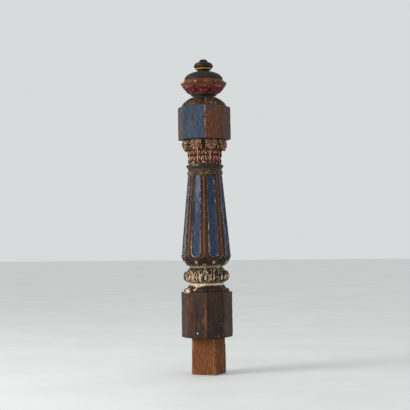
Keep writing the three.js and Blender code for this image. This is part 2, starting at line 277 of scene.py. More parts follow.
class Bench:
    """The modelling moves that the sections share."""

    @staticmethod
    def clear() -> None:
        """Leaves edit mode and leaves nothing selected."""
        if bpy.context.object and bpy.context.object.mode != "OBJECT":
            bpy.ops.object.mode_set(mode="OBJECT")
        bpy.ops.object.select_all(action="DESELECT")

    @staticmethod
    def named(name: str) -> bpy.types.Object:
        """Names the newest primitive and puts its place in its mesh.

        Args:
            name: The piece's name.

        Returns:
            The piece.
        """
        piece = bpy.context.object
        piece.name = piece.data.name = name
        bpy.ops.object.transform_apply(location=True, rotation=True, scale=True)
        return piece

    @staticmethod
    def take(piece: bpy.types.Object) -> None:
        """Makes a piece the active one and the only one selected.

        Args:
            piece: The piece to work on.
        """
        Bench.clear()
        bpy.context.view_layer.objects.active = piece
        piece.select_set(True)

    @staticmethod
    def round_the_post(first: bpy.types.Object, name: str, start: float) -> list[bpy.types.Object]:
        """Sets copies of a piece round the post's axis, one for each face.

        Args:
            first: The shaped piece, at the front, which stays as the first of them.
            name: What the pieces are named, before their number.
            start: How many faces on from the front the first one stands.

        Returns:
            The pieces, each with its own mesh.
        """
        pieces = [first]
        for place in range(1, FACES):
            Bench.take(first)
            bpy.ops.object.duplicate(linked=False)
            piece = bpy.context.object
            piece.name = piece.data.name = f"{name}_{place + 1}"
            pieces.append(piece)
        for place, piece in enumerate(pieces):
            Bench.take(piece)
            piece.rotation_euler.z = (place + start) * SECTOR
            bpy.ops.object.transform_apply(location=True, rotation=True, scale=True)
        return pieces

    @staticmethod
    def spin(name: str, outline: Outline, sides: int) -> bpy.types.Object:
        """Spins a profile round the post's axis into one closed skin.

        Args:
            name: The piece's name.
            outline: The profile, from the axis at its foot to the axis at its top.
            sides: How many steps the turn has.

        Returns:
            The piece, with its normals out.
        """
        Bench.clear()
        radius, level = outline.points[0]
        bpy.ops.mesh.primitive_plane_add(size=MM, location=(radius * MM, 0, level * MM))
        piece = Bench.named(name)
        bpy.ops.object.mode_set(mode="EDIT")
        bpy.ops.mesh.select_mode(type="VERT")
        bpy.ops.mesh.select_all(action="SELECT")
        bpy.ops.mesh.merge(type="CENTER")
        for (before, low), (after, high) in zip(outline.points, outline.points[1:]):
            move = ((after - before) * MM, 0, (high - low) * MM)
            bpy.ops.mesh.extrude_region_move(TRANSFORM_OT_translate={"value": move})
        bpy.ops.mesh.select_all(action="SELECT")
        bpy.ops.mesh.spin(steps=sides, angle=FULL_TURN, center=(0, 0, 0), axis=(0, 0, 1))
        bpy.ops.mesh.select_all(action="SELECT")
        bpy.ops.mesh.remove_doubles(threshold=MM / 50)
        bpy.ops.mesh.normals_make_consistent(inside=False)
        bpy.ops.object.mode_set(mode="OBJECT")
        return piece

    @staticmethod
    def choose_edges(chosen: Callable[[Vector, Vector], bool]) -> None:
        """Selects, in edit mode, the edges whose two ends the test accepts.

        Args:
            chosen: The test, on an edge's two ends in millimetres.
        """
        bpy.ops.mesh.select_mode(type="EDGE")
        bpy.ops.mesh.select_all(action="DESELECT")
        cage = bmesh.from_edit_mesh(bpy.context.object.data)
        for edge in cage.edges:
            edge.select = chosen(edge.verts[0].co / MM, edge.verts[1].co / MM)
        bmesh.update_edit_mesh(bpy.context.object.data)

    @staticmethod
    def cut(chosen: Callable[[Vector, Vector], bool], pieces: int) -> None:
        """Divides each chosen edge, and the faces between them, into that many pieces."""
        Bench.choose_edges(chosen)
        bpy.ops.mesh.subdivide(number_cuts=pieces - 1)

    @staticmethod
    def choose_face(chosen: Callable[[Vector, Vector], bool]) -> None:
        """Selects, in edit mode, the faces whose middle and normal the test accepts.

        Args:
            chosen: The test, on a face's middle in millimetres and its normal.
        """
        bpy.ops.mesh.select_mode(type="FACE")
        bpy.ops.mesh.select_all(action="DESELECT")
        cage = bmesh.from_edit_mesh(bpy.context.object.data)
        for face in cage.faces:
            face.select = chosen(face.calc_center_median() / MM, face.normal)
        bmesh.update_edit_mesh(bpy.context.object.data)

    @staticmethod
    def is_upright(one: Vector, other: Vector) -> bool:
        """Whether an edge runs straight up."""
        return (one.xy - other.xy).length < 0.5 and abs(one.z - other.z) > 0.5


class Carving:
    """The points of one mesh while the carver's tools move them."""

    def __init__(self, piece: bpy.types.Object) -> None:
        """Reads the mesh's points and normals.

        Args:
            piece: The piece to carve.
        """
        self.piece = piece
        vertices = piece.data.vertices
        flat = np.empty(len(vertices) * 3, np.float32)
        vertices.foreach_get("co", flat)
        self.points = flat.reshape(-1, 3).astype(float) / MM
        vertices.foreach_get("normal", flat)
        self.normals = flat.reshape(-1, 3).astype(float)
        self.angle = np.arctan2(self.points[:, 0], -self.points[:, 1])
        self.degrees = np.degrees(self.angle)
        self.radius = np.hypot(self.points[:, 0], self.points[:, 1])
        self.level = self.points[:, 2].copy()

    def aside(self, phase: float = 0.0, step: float = SECTOR) -> Array:
        """How far round the post each point lies from the nearest line of a pattern."""
        return nearest(self.angle, phase, step) * self.radius

    def face(self) -> Array:
        """Which of the octagon's faces each point is on, counted from the front."""
        return (np.round(self.angle / SECTOR) % FACES).astype(int)

    def push(self, depth: Array) -> None:
        """Moves each point along its normal, inwards where the depth is below 0."""
        self.points += self.normals * depth[:, None]

    def widen(self, distance: Array) -> None:
        """Moves each point straight away from the post's axis."""
        stretch = 1 + distance / np.maximum(self.radius, 1)
        self.points[:, :2] *= stretch[:, None]

    def mark(self, name: str, share: Array) -> None:
        """Stores where a coat of paint lies, as the mesh's own attribute."""
        attribute = self.piece.data.attributes.new(name, "FLOAT", "POINT")
        attribute.data.foreach_set("value", np.clip(share, 0, 1).astype(np.float32))

    def fade(self, name: str, share: float) -> None:
        """Lowers a mark to a share of what it is, all over the mesh.

        Args:
            name: The mark's name.
            share: The share of it that stays.
        """
        attribute = self.piece.data.attributes[name]
        level = np.empty(len(self.points), np.float32)
        attribute.data.foreach_get("value", level)
        attribute.data.foreach_set("value", level * np.float32(share))

    def write(self) -> None:
        """Puts the moved points back into the mesh."""
        self.piece.data.vertices.foreach_set("co", (self.points * MM).astype(np.float32).ravel())
        self.piece.data.update()


class Value:
    """A number or colour that flows between shader nodes, for use in Python expressions."""

    def __init__(self, nodes: "Nodes", socket: bpy.types.NodeSocket) -> None:
        """Wraps a node's output."""
        self.nodes = nodes
        self.socket = socket

    def __add__(self, other: Feed) -> "Value":
        """The sum."""
        return self.nodes.math("ADD", self, other)

    __radd__ = __add__

    def __mul__(self, other: Feed) -> "Value":
        """The product."""
        return self.nodes.math("MULTIPLY", self, other)

    __rmul__ = __mul__

    def __sub__(self, other: Feed) -> "Value":
        """The difference."""
        return self.nodes.math("SUBTRACT", self, other)

    def __rsub__(self, other: Feed) -> "Value":
        """The difference, with this value taken away."""
        return self.nodes.math("SUBTRACT", other, self)


class Nodes:
    """The node tree of one material."""

    def __init__(self, name: str) -> None:
        """Starts a material with only its shader and output.

        Args:
            name: The material's name.
        """
        self.material = bpy.data.materials.new(name)
        self.material.use_nodes = True
        self.tree = self.material.node_tree
        self.shader = self.tree.nodes["Principled BSDF"]

    def node(self, kind: str, settings: dict[str, object],
             inputs: dict[str | int, Feed]) -> bpy.types.Node:
        """Adds a node.

        Args:
            kind: The node's type.
            settings: What is set on the node itself, before its sockets.
            inputs: The value or link of each socket, by the socket's name or number.

        Returns:
            The node.
        """
        made = self.tree.nodes.new(kind)
        for key, setting in settings.items():
            setattr(made, key, setting)
        for key, feed in inputs.items():
            self.feed(made, key, feed)
        return made

    def feed(self, node: bpy.types.Node, key: str | int, feed: Feed) -> None:
        """Links a value to a node's socket, or sets the socket.

        Args:
            node: The node.
            key: The socket's name or number.
            feed: What goes in: another node's value, a number or a colour.
        """
        if isinstance(key, int):
            socket = node.inputs[key]
        else:
            socket = next(s for s in node.inputs if s.enabled and s.name == key)
        if isinstance(feed, Value):
            self.tree.links.new(feed.socket, socket)
        elif isinstance(feed, tuple) and socket.type == "RGBA":
            socket.default_value = (*feed, 1)
        else:
            socket.default_value = feed

    def value(self, kind: str, settings: dict[str, object], inputs: dict[str | int, Feed],
              output: str = "") -> Value:
        """Adds a node and gives its named output, or its first one in use."""
        made = self.node(kind, settings, inputs)
        return Value(self, next(s for s in made.outputs if s.enabled and output in ("", s.name)))

    def math(self, operation: str, one: Feed, other: Feed) -> Value:
        """Works out two numbers by one operation."""
        return self.value("ShaderNodeMath", {"operation": operation}, {0: one, 1: other})

    def mix(self, share: Feed, low: Feed, high: Feed) -> Value:
        """Goes from one colour to another as the share goes from 0 to 1."""
        settings = {"data_type": "RGBA", "clamp_factor": True}
        return self.value("ShaderNodeMix", settings, {"Factor": share, "A": low, "B": high})

    def smooth(self, value: Value, low: float, high: float) -> Value:
        """Rises smoothly from 0 at low to 1 at high."""
        ends = {"Value": value, "From Min": low, "From Max": high, "To Min": 0.0, "To Max": 1.0}
        return self.value("ShaderNodeMapRange", {"interpolation_type": "SMOOTHSTEP"}, ends)

    def noise(self, place: Value, scale: Colour, seed: float) -> Value:
        """Noise with its own scale along each axis, per metre.

        Args:
            place: The places to read it at.
            scale: The scale along each axis.
            seed: How far the noise is moved, which makes it another one.

        Returns:
            The noise, about 0.5.
        """
        settings = {"vector_type": "POINT"}
        moved = self.value("ShaderNodeMapping", settings,
                           {"Vector": place, "Location": (seed, -seed, 2 * seed), "Scale": scale})
        return self.value("ShaderNodeTexNoise", {},
                          {"Vector": moved, "Scale": 1.0, "Detail": 5.0, "Roughness": 0.6})

    def attribute(self, name: str) -> Value:
        """Reads one of the mesh's own attributes."""
        return self.value("ShaderNodeAttribute", {"attribute_name": name}, {}, "Fac")


class Pattern(Enum):
    """How a coat of paint comes away, as the noise's scale along each axis."""

    STREAKS = (230.0, 230.0, 17.0)
    FLAKES = (105.0, 105.0, 70.0)
    BLOTCHES = (24.0, 24.0, 15.0)


@dataclass(frozen=True)
class Coat:
    """A coat of old paint, in colours as a screen shows them, 0 to 255.

    Cover is the share of it that is left, or the attribute that says where it lies. Ragged is
    how much the noise eats into it, and rubbed how much its high edges have lost, or kept where
    it is below 0. The fringe is an older coat that shows round its edge.
    """

    colour: Screen
    faded: Screen
    cover: float | str
    pattern: Pattern
    ragged: float
    rubbed: float
    roughness: float
    fringe: Screen | None = None


@dataclass(frozen=True)
class OldFinish:
    """Old timber under the coats of paint that are left on it, with grime and painted shade in its
    hollows.
    """

    name: str
    coats: tuple[Coat, ...]
    timber: tuple[Screen, Screen] = ((62, 36, 24), (128, 80, 50))
    # The grime colour darkens the hollows: partly dirt, partly painted shade.
    grime: Screen = (24, 19, 17)
    grime_share: float = 0.85
    grain_depth: float = 0.5
    mottle: float = 0.8
    tones: tuple[Colour, Colour] = ((0.68, 0.66, 0.64), (1.3, 1.3, 1.3))
    crest: Range = (0.515, 0.60)
    hollow: Range = (0.485, 0.42)
    grain_spread: Range = (0.36, 0.66)
    grain_gloss: Range = (-1.0, 1.4)
    fading: Range = (0.42, 0.60)
    coat_edge: Range = (0.48, 0.53)
    fringe_edge: Range = (0.40, 0.47)
    tone_spread: Range = (0.38, 0.62)
    grime_spread: Range = (0.25, 0.55)
    coat_height: float = 0.35
    bare_height: float = 1.1
    specular: float = 0.2
    seed: float = 3.7

    def material(self) -> bpy.types.Material:
        """Builds the finish's nodes.

        Returns:
            The material.
        """
        nodes = Nodes(self.name)
        place = nodes.value("ShaderNodeTexCoord", {}, {}, "Object")
        noises = {
            pattern: nodes.noise(place, pattern.value, self.seed * (index + 1))
            for index, pattern in enumerate(Pattern)
        }
        edge = nodes.value("ShaderNodeNewGeometry", {}, {}, "Pointiness")
        crest = nodes.smooth(edge, *self.crest)
        # Hollows, concave by pointiness or marked on the mesh, take the grime and the painted
        # shade.
        hollow = nodes.math("MAXIMUM", nodes.smooth(edge, *self.hollow), nodes.attribute("hollow"))
        colour, roughness, covered = self.paint(nodes, noises, crest)
        grain, flakes = noises[Pattern.STREAKS], noises[Pattern.FLAKES]
        tone = nodes.mix(nodes.smooth(flakes * 0.5 + grain * 0.5, *self.tone_spread), *self.tones)
        colour = nodes.value("ShaderNodeMix", {"data_type": "RGBA", "blend_type": "MULTIPLY"},
                             {"Factor": self.mottle, "A": colour, "B": tone})
        # Grime and painted shade, laid into the hollows.
        dirt_and_shade = nodes.smooth(flakes, *self.grime_spread) * hollow * self.grime_share
        colour = nodes.mix(dirt_and_shade, colour, srgb(*self.grime))
        height = grain * (self.bare_height - covered) + covered * self.coat_height
        bump = nodes.value("ShaderNodeBump", {},
                           {"Height": height, "Strength": self.grain_depth, "Distance": MM})
        nodes.feed(nodes.shader, "Base Color", colour)
        nodes.feed(nodes.shader, "Roughness", roughness)
        nodes.feed(nodes.shader, "Normal", bump)
        nodes.feed(nodes.shader, "Specular IOR Level", self.specular)
        return nodes.material

    def paint(self, nodes: Nodes, noises: dict[Pattern, Value],
              crest: Value) -> tuple[Value, Value, Value]:
        """Lays the coats on the timber, the oldest first.

        Args:
            nodes: The material's nodes.
            noises: The noise of each pattern.
            crest: How much of a high edge a place is, from 0 to 1.

        Returns:
            The colour, the roughness, and the share that is covered with paint.
        """
        grain, patches = noises[Pattern.STREAKS], noises[Pattern.BLOTCHES]
        dark_timber, light_timber = (srgb(*tone) for tone in self.timber)
        colour = nodes.mix(nodes.smooth(grain, *self.grain_spread), dark_timber, light_timber)
        roughness = nodes.smooth(grain, *self.grain_gloss)
        covered = None
        for coat in self.coats:
            cover = nodes.attribute(coat.cover) if isinstance(coat.cover, str) else coat.cover
            loss = (noises[coat.pattern] - 0.5) * (2 * coat.ragged)
            left = loss + cover - crest * coat.rubbed
            visible = nodes.smooth(left, *self.coat_edge)
            faded = nodes.smooth(patches * 0.6 + grain * 0.4, *self.fading)
            tint = nodes.mix(faded, srgb(*coat.colour), srgb(*coat.faded))
            if coat.fringe:
                rim = nodes.smooth(left, *self.fringe_edge)
                colour = nodes.mix(rim, colour, srgb(*coat.fringe))
            colour = nodes.mix(visible, colour, tint)
            roughness = roughness + (coat.roughness - roughness) * visible
            covered = visible if covered is None else nodes.math("MAXIMUM", covered, visible)
        return colour, roughness, covered


@dataclass(frozen=True)
class Wear:
    """How a block of timber has worn on its edges and faces, in millimetres."""

    seed: int
    ragged_size: Size
    corner_depth: float
    corner_width: float
    end_depth: float
    end_width: float
    hollow_depth: float
    hollow_size: Size
    crack_depth: float
    crack_size: Size
    level_share: float = 0.2

    def work_out(self, carving: Carving, corner: Array, ends: Array,
                 block: Array | float) -> tuple[Array, Array]:
        """Works out the wear of the edges, the faces' hollows and the cracks.

        Args:
            carving: The block's points.
            corner: How far each point is from the nearest upright edge.
            ends: How far it is from the block's nearer end.
            block: 1 on the block and 0 beyond it.

        Returns:
            The depth at each point, inwards where it is below 0, and its raggedness from 0 to 1.
        """
        rough = Unevenness(self.seed)
        ragged = rough.rough(carving.points, self.ragged_size)
        depth = -self.corner_depth * np.exp(-(corner / self.corner_width) ** 2) * (0.3 + ragged)
        at_end = np.exp(-(ends / self.end_width) ** 2)
        depth -= self.end_depth * at_end * (0.35 + 0.8 * ragged) * block
        depth -= self.hollow_depth * rough.at(carving.points, self.hollow_size) * block
        cracks = Unevenness(self.seed + 1).at(carving.points, self.crack_size)
        depth -= self.crack_depth * smooth(cracks, 0.9, 0.98) * block
        return depth, ragged

    def cut(self, carving: Carving, depth: Array) -> None:
        """Cuts the wear into the sides, and a share of it into the level faces.

        Args:
            carving: The block's points.
            depth: How far each point moves, inwards where it is below 0.
        """
        sides = np.abs(carving.normals[:, 2]) < 0.98
        carving.push(np.where(sides, depth, np.minimum(0, depth * self.level_share)))


class Section:
    """A stretch of the post that builds its pieces and dresses them."""

    finish: OldFinish

    def build(self) -> list[bpy.types.Object]:
        """Makes the section's pieces."""
        raise NotImplementedError

    def carve(self, carving: Carving) -> None:
        """Moves a piece's points and marks where its coats lie."""
        raise NotImplementedError

    def carved(self, piece: bpy.types.Object) -> list[bpy.types.Object]:
        """Carves a piece.

        Args:
            piece: The piece, with all its points.

        Returns:
            The piece alone in a list.
        """
        carving = Carving(piece)
        self.carve(carving)
        carving.write()
        return [piece]

    def dress(self, pieces: list[bpy.types.Object]) -> None:
        """Gives the pieces their finish and their place in the frame.

        Args:
            pieces: The section's pieces.
        """
        material = self.finish.material()
        for piece in pieces:
            piece.data.materials.append(material)
            Bench.take(piece)
            bpy.ops.object.shade_smooth_by_angle(angle=math.radians(SHARP_ANGLE))
            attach(piece, BODY)
            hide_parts(NODE)
            piece.data.calc_loop_triangles()
            log.info("%s: %d triangles", piece.name, len(piece.data.loop_triangles))


@dataclass
class Tenon(Section):
    """The square tenon, hewn and left bare, that goes into the stair."""

    foot_width: float = 109
    head_width: float = 107
    shift: float = 6
    corner_radius: float = 7
    foot_wear: float = 3.5
    rebate_height: float = 33
    rebate_depth: float = 3
    rows: int = 60
    columns: int = 36
    hewn_depth: float = 1.2
    adze_cut: Size = (34, 34, 62)
    split_depth: float = 1.8
    split_size: Size = (9, 9, 400)
    seed: int = 11
    finish: OldFinish = OldFinish(
        "bare_hewn_wood",
        coats=(
            Coat((138, 82, 44), (110, 62, 34), 0.5, Pattern.BLOTCHES,
                 ragged=1.6, rubbed=0.0, roughness=0.75),
            Coat((166, 112, 62), (150, 96, 52), "worn", Pattern.STREAKS,
                 ragged=1.0, rubbed=-0.5, roughness=0.75),
            Coat((78, 49, 28), (64, 40, 25), "shade", Pattern.FLAKES,
                 ragged=0.9, rubbed=0.0, roughness=0.8),
        ),
        timber=((92, 50, 26), (134, 80, 44)),
        grain_depth=0.9,
    )

    def build(self) -> list[bpy.types.Object]:
        """Squares a block, rounds its corners, wears its foot and hews its sides.

        Returns:
            The tenon.
        """
        Bench.clear()
        height = HEIGHTS.tenon + OVERLAP
        bpy.ops.mesh.primitive_cube_add(
            size=1, location=(self.shift * MM, 0, height / 2 * MM),
            scale=(self.foot_width * MM, self.foot_width * MM, height * MM))
        piece = Bench.named("tenon")
        bpy.ops.object.mode_set(mode="EDIT")
        Bench.choose_edges(Bench.is_upright)
        bpy.ops.mesh.bevel(offset=self.corner_radius * MM, segments=3, affect="EDGES")
        Bench.choose_edges(lambda one, other: max(one.z, other.z) < 0.5)
        bpy.ops.mesh.bevel(offset=self.foot_wear * MM, segments=2, affect="EDGES")
        long_side = self.foot_width / 2
        Bench.cut(lambda one, other: abs(one.z - other.z) > long_side, self.rows)
        Bench.cut(lambda one, other: (one.xy - other.xy).length > long_side, self.columns)
        bpy.ops.object.mode_set(mode="OBJECT")
        return self.carved(piece)

    def carve(self, carving: Carving) -> None:
        """Tapers the tenon, cuts its rebate and leaves the adze's flats on it.

        Args:
            carving: The tenon's points.
        """
        x, y = carving.points[:, 0] - self.shift, carving.points[:, 1]
        scale = mixed(1.0, self.head_width / self.foot_width, carving.level / HEIGHTS.tenon)
        hewn = Unevenness(self.seed).at(carving.points, self.adze_cut) ** 2
        split = Unevenness(self.seed + 1).at(carving.points, self.split_size)
        sides = smooth(carving.level, 0.5, 3) * smooth(np.abs(carving.normals[:, 2]), 0.7, 0.2)
        depth = -self.hewn_depth * hewn - self.split_depth * smooth(split, 0.86, 0.97)
        carving.points[:, 0] = self.shift + x * scale
        carving.points[:, 1] = y * scale
        carving.push(depth * sides)
        limit = self.shift + self.head_width / 2 - self.rebate_depth
        over = carving.level > HEIGHTS.tenon - self.rebate_height
        carving.points[over, 0] = np.minimum(carving.points[over, 0], limit)
        half = self.foot_width / 2
        corner = np.hypot(np.abs(x) - half, np.abs(y) - half)
        foot = 1 - smooth(carving.level, 3, 11)
        carving.mark("worn", 0.42 * (1 - smooth(corner, 8, 17)) + 0.4 * foot)
        turned_away = smooth(carving.normals[:, 0], 0.2, 0.9)
        under = smooth(carving.level, HEIGHTS.tenon - 9, HEIGHTS.tenon - 2)
        lowest = 1 - smooth(carving.level, 0, 2.5)
        carving.mark("shade", 0.75 * under + 0.42 * turned_away + 0.5 * lowest)


@dataclass
class LowerBlock(Section):
    """The lower octagonal block and the steps of the plinth that are cut on top of it."""

    across: float = 198
    step_height: float = 11
    step_across: float = 176
    slope_height: float = 6
    taper_height: float = 12
    waist_across: float = 150
    top_across: float = 138
    columns: int = 46
    block_rows: int = 66
    step_rows: int = 5
    top_border: float = 8
    wear: Wear = Wear(
        seed=21, ragged_size=(16, 16, 22), corner_depth=2.2, corner_width=4, end_depth=3,
        end_width=2.5, hollow_depth=0.9, hollow_size=(46, 46, 120), crack_depth=1.5,
        crack_size=(5.5, 5.5, 260))
    dents: int = 46
    dent_size: Range = (3, 6)
    dent_share: float = 0.34
    dent_seed: int = 23
    chips: tuple[Size, ...] = ((2, 172, 3.4), (50, 248, 3), (53, 160, 3.6))
    black_left: tuple[float, ...] = (0.67, 0.82, 0.64, 0.72, 0.72, 0.72, 0.72, 0.80)
    finish: OldFinish = OldFinish(
        "blackened_paint",
        coats=(
            Coat((90, 48, 32), (70, 44, 31), 0.52, Pattern.BLOTCHES,
                 ragged=1.2, rubbed=0.3, roughness=0.55),
            Coat((42, 32, 27), (60, 43, 31), "black", Pattern.FLAKES,
                 ragged=1.35, rubbed=0.5, roughness=0.5),
            Coat((116, 72, 44), (98, 58, 38), "copper", Pattern.STREAKS,
                 ragged=0.9, rubbed=-0.2, roughness=0.6),
            Coat((222, 200, 176), (200, 174, 146), "gesso", Pattern.FLAKES,
                 ragged=1.0, rubbed=0.0, roughness=0.8),
        ),
        timber=((68, 42, 29), (112, 66, 42)),
        grain_depth=0.7,
        mottle=1.0,
    )

    def build(self) -> list[bpy.types.Object]:
        """Raises the steps from an octagonal block, divides its faces and wears them.

        Returns:
            The block with its plinth.
        """
        Bench.clear()
        level, height = HEIGHTS.level("lower_block"), HEIGHTS.lower_block
        to_corner = 1 / math.cos(CORNER) / 2
        bpy.ops.mesh.primitive_cylinder_add(
            vertices=FACES, radius=self.across * to_corner * MM, depth=height * MM,
            location=(0, 0, (level + height / 2) * MM), rotation=(0, 0, CORNER))
        piece = Bench.named("lower_block")
        bpy.ops.object.mode_set(mode="EDIT")
        Bench.choose_face(lambda middle, normal: normal.z > 0.9)
        bpy.ops.mesh.inset(thickness=(self.across - self.step_across) / 2 * MM)
        widths = (self.step_across, self.step_across, self.waist_across, self.top_across)
        rises = (self.step_height, self.slope_height, self.taper_height)
        for before, after, rise in zip(widths, widths[1:], rises):
            bpy.ops.mesh.extrude_region_move(TRANSFORM_OT_translate={"value": (0, 0, rise * MM)})
            share = after / before
            bpy.ops.transform.resize(value=(share, share, 1), center_override=(0, 0, 0))
        bpy.ops.mesh.inset(thickness=self.top_border * MM)
        Bench.choose_face(lambda middle, normal: normal.z < -0.9)
        bpy.ops.mesh.inset(thickness=self.across / 5 * MM)

        def along(one: Vector, other: Vector) -> bool:
            """Whether an edge runs round the block."""
            return abs(one.z - other.z) < 0.1 and abs(one.xy.length - other.xy.length) < 0.1

        top = level + height
        Bench.cut(along, self.columns)
        Bench.cut(lambda one, other: min(one.z, other.z) < level + 1
                  and abs(one.z - other.z) > height / 2, self.block_rows)
        Bench.cut(lambda one, other: min(one.z, other.z) > top - 1 and not along(one, other),
                  self.step_rows)
        bpy.ops.object.mode_set(mode="OBJECT")
        return self.carved(piece)

    def carve(self, carving: Carving) -> None:
        """Wears the edges, dents the faces and marks what is left of the paint.

        Args:
            carving: The block's points.
        """
        level = HEIGHTS.level("lower_block")
        top = level + HEIGHTS.lower_block
        corner = np.abs(carving.aside(CORNER))
        ends = np.minimum(np.abs(carving.level - level), np.abs(carving.level - top))
        block = smooth(carving.level, top + 1, top - 1)
        depth, ragged = self.wear.work_out(carving, corner, ends, block)
        chance = np.random.default_rng(self.dent_seed)
        least, spread = self.dent_size
        for _ in range(self.dents):
            face = (chance.integers(FACES) + 0.5 + 0.06 * chance.normal()) * SECTOR
            place = level + chance.random() * HEIGHTS.lower_block
            size = least + spread * chance.random()
            aside = carving.aside(face, FULL_TURN)
            reach = np.hypot(aside, (carving.level - place) / 1.6) / size
            depth -= self.dent_share * size * (1 - smooth(reach, 0, 1)) * block
        self.wear.cut(carving, depth)
        self.mark_black(carving, corner, block)
        self.mark_gesso(carving, ragged)

    def mark_black(self, carving: Carving, corner: Array, block: Array) -> None:
        """Marks the black paint and the copper-coloured edges that show through it.

        Args:
            carving: The block's points.
            corner: How far each point is from the nearest upright edge.
            block: 1 on the block and 0 on the plinth.
        """
        level = HEIGHTS.level("lower_block")
        top = level + HEIGHTS.lower_block
        edge = 1 - smooth(corner, 3, 12)
        bright = 1 - smooth(np.abs(carving.aside(CORNER, FULL_TURN)), 2, 8)
        second = 1 - smooth(np.abs(carving.aside(-CORNER, FULL_TURN)), 2, 9)
        fade = smooth(carving.level, level + 10, level + 60)
        ledge = ridge(carving.level - top - self.step_height, 2.5) + ridge(carving.level - top, 2.5)
        front = smooth(np.abs(carving.degrees - 25), 80, 40)
        worn = (0.2 * edge + 0.44 * bright * fade + 0.16 * second) * block + 0.34 * ledge * front
        carving.mark("copper", worn + 0.08)
        face = carving.face()
        left_part = (face == 0) * smooth(carving.degrees, 2, -14)
        share = np.choose(face, self.black_left) - 0.22 * left_part
        carving.mark("black", share - 0.2 * edge * block + 0.2 * (1 - block))

    def mark_gesso(self, carving: Carving, ragged: Array) -> None:
        """Marks the white ground on the plinth: its drip, spill and crumbs, and the chips.

        Args:
            carving: The block's points.
            ragged: The raggedness of the timber, from 0 to 1.
        """
        top = HEIGHTS.level("lower_block") + HEIGHTS.lower_block
        plinth_top = top + HEIGHTS.plinth
        above = carving.level - top
        degrees = carving.degrees
        fall = 1 + 16 * smooth(np.abs(degrees + 3), 28, 2) * ragged
        drip = smooth(plinth_top - carving.level, fall + 1, fall - 1)
        run_down = smooth(np.abs(degrees + 9), 5, 2) * smooth(carving.level, top + 4, top + 8)
        spill = smooth(np.abs(degrees + 37), 21, 12) * smooth(np.abs(above - 5), 7.5, 4)
        crumbs = smooth(np.abs(degrees + 36), 15, 5) * smooth(np.abs(above - 12), 9, 3)
        rim = smooth(carving.level, plinth_top - 3, plinth_top - 0.5)
        marks = np.maximum.reduce(
            [0.85 * drip, 0.62 * run_down, 0.85 * spill, 0.46 * crumbs, 0.3 * rim])
        for turn, place, size in self.chips:
            aside = (degrees - turn) / 180 * math.pi * self.across / 2
            reach = np.hypot(aside / 1.5, (carving.level - place) / size * 1.5)
            marks = np.maximum(marks, 0.6 * smooth(reach, 2.2, 0.8))
        carving.mark("gesso", marks + 0.1)


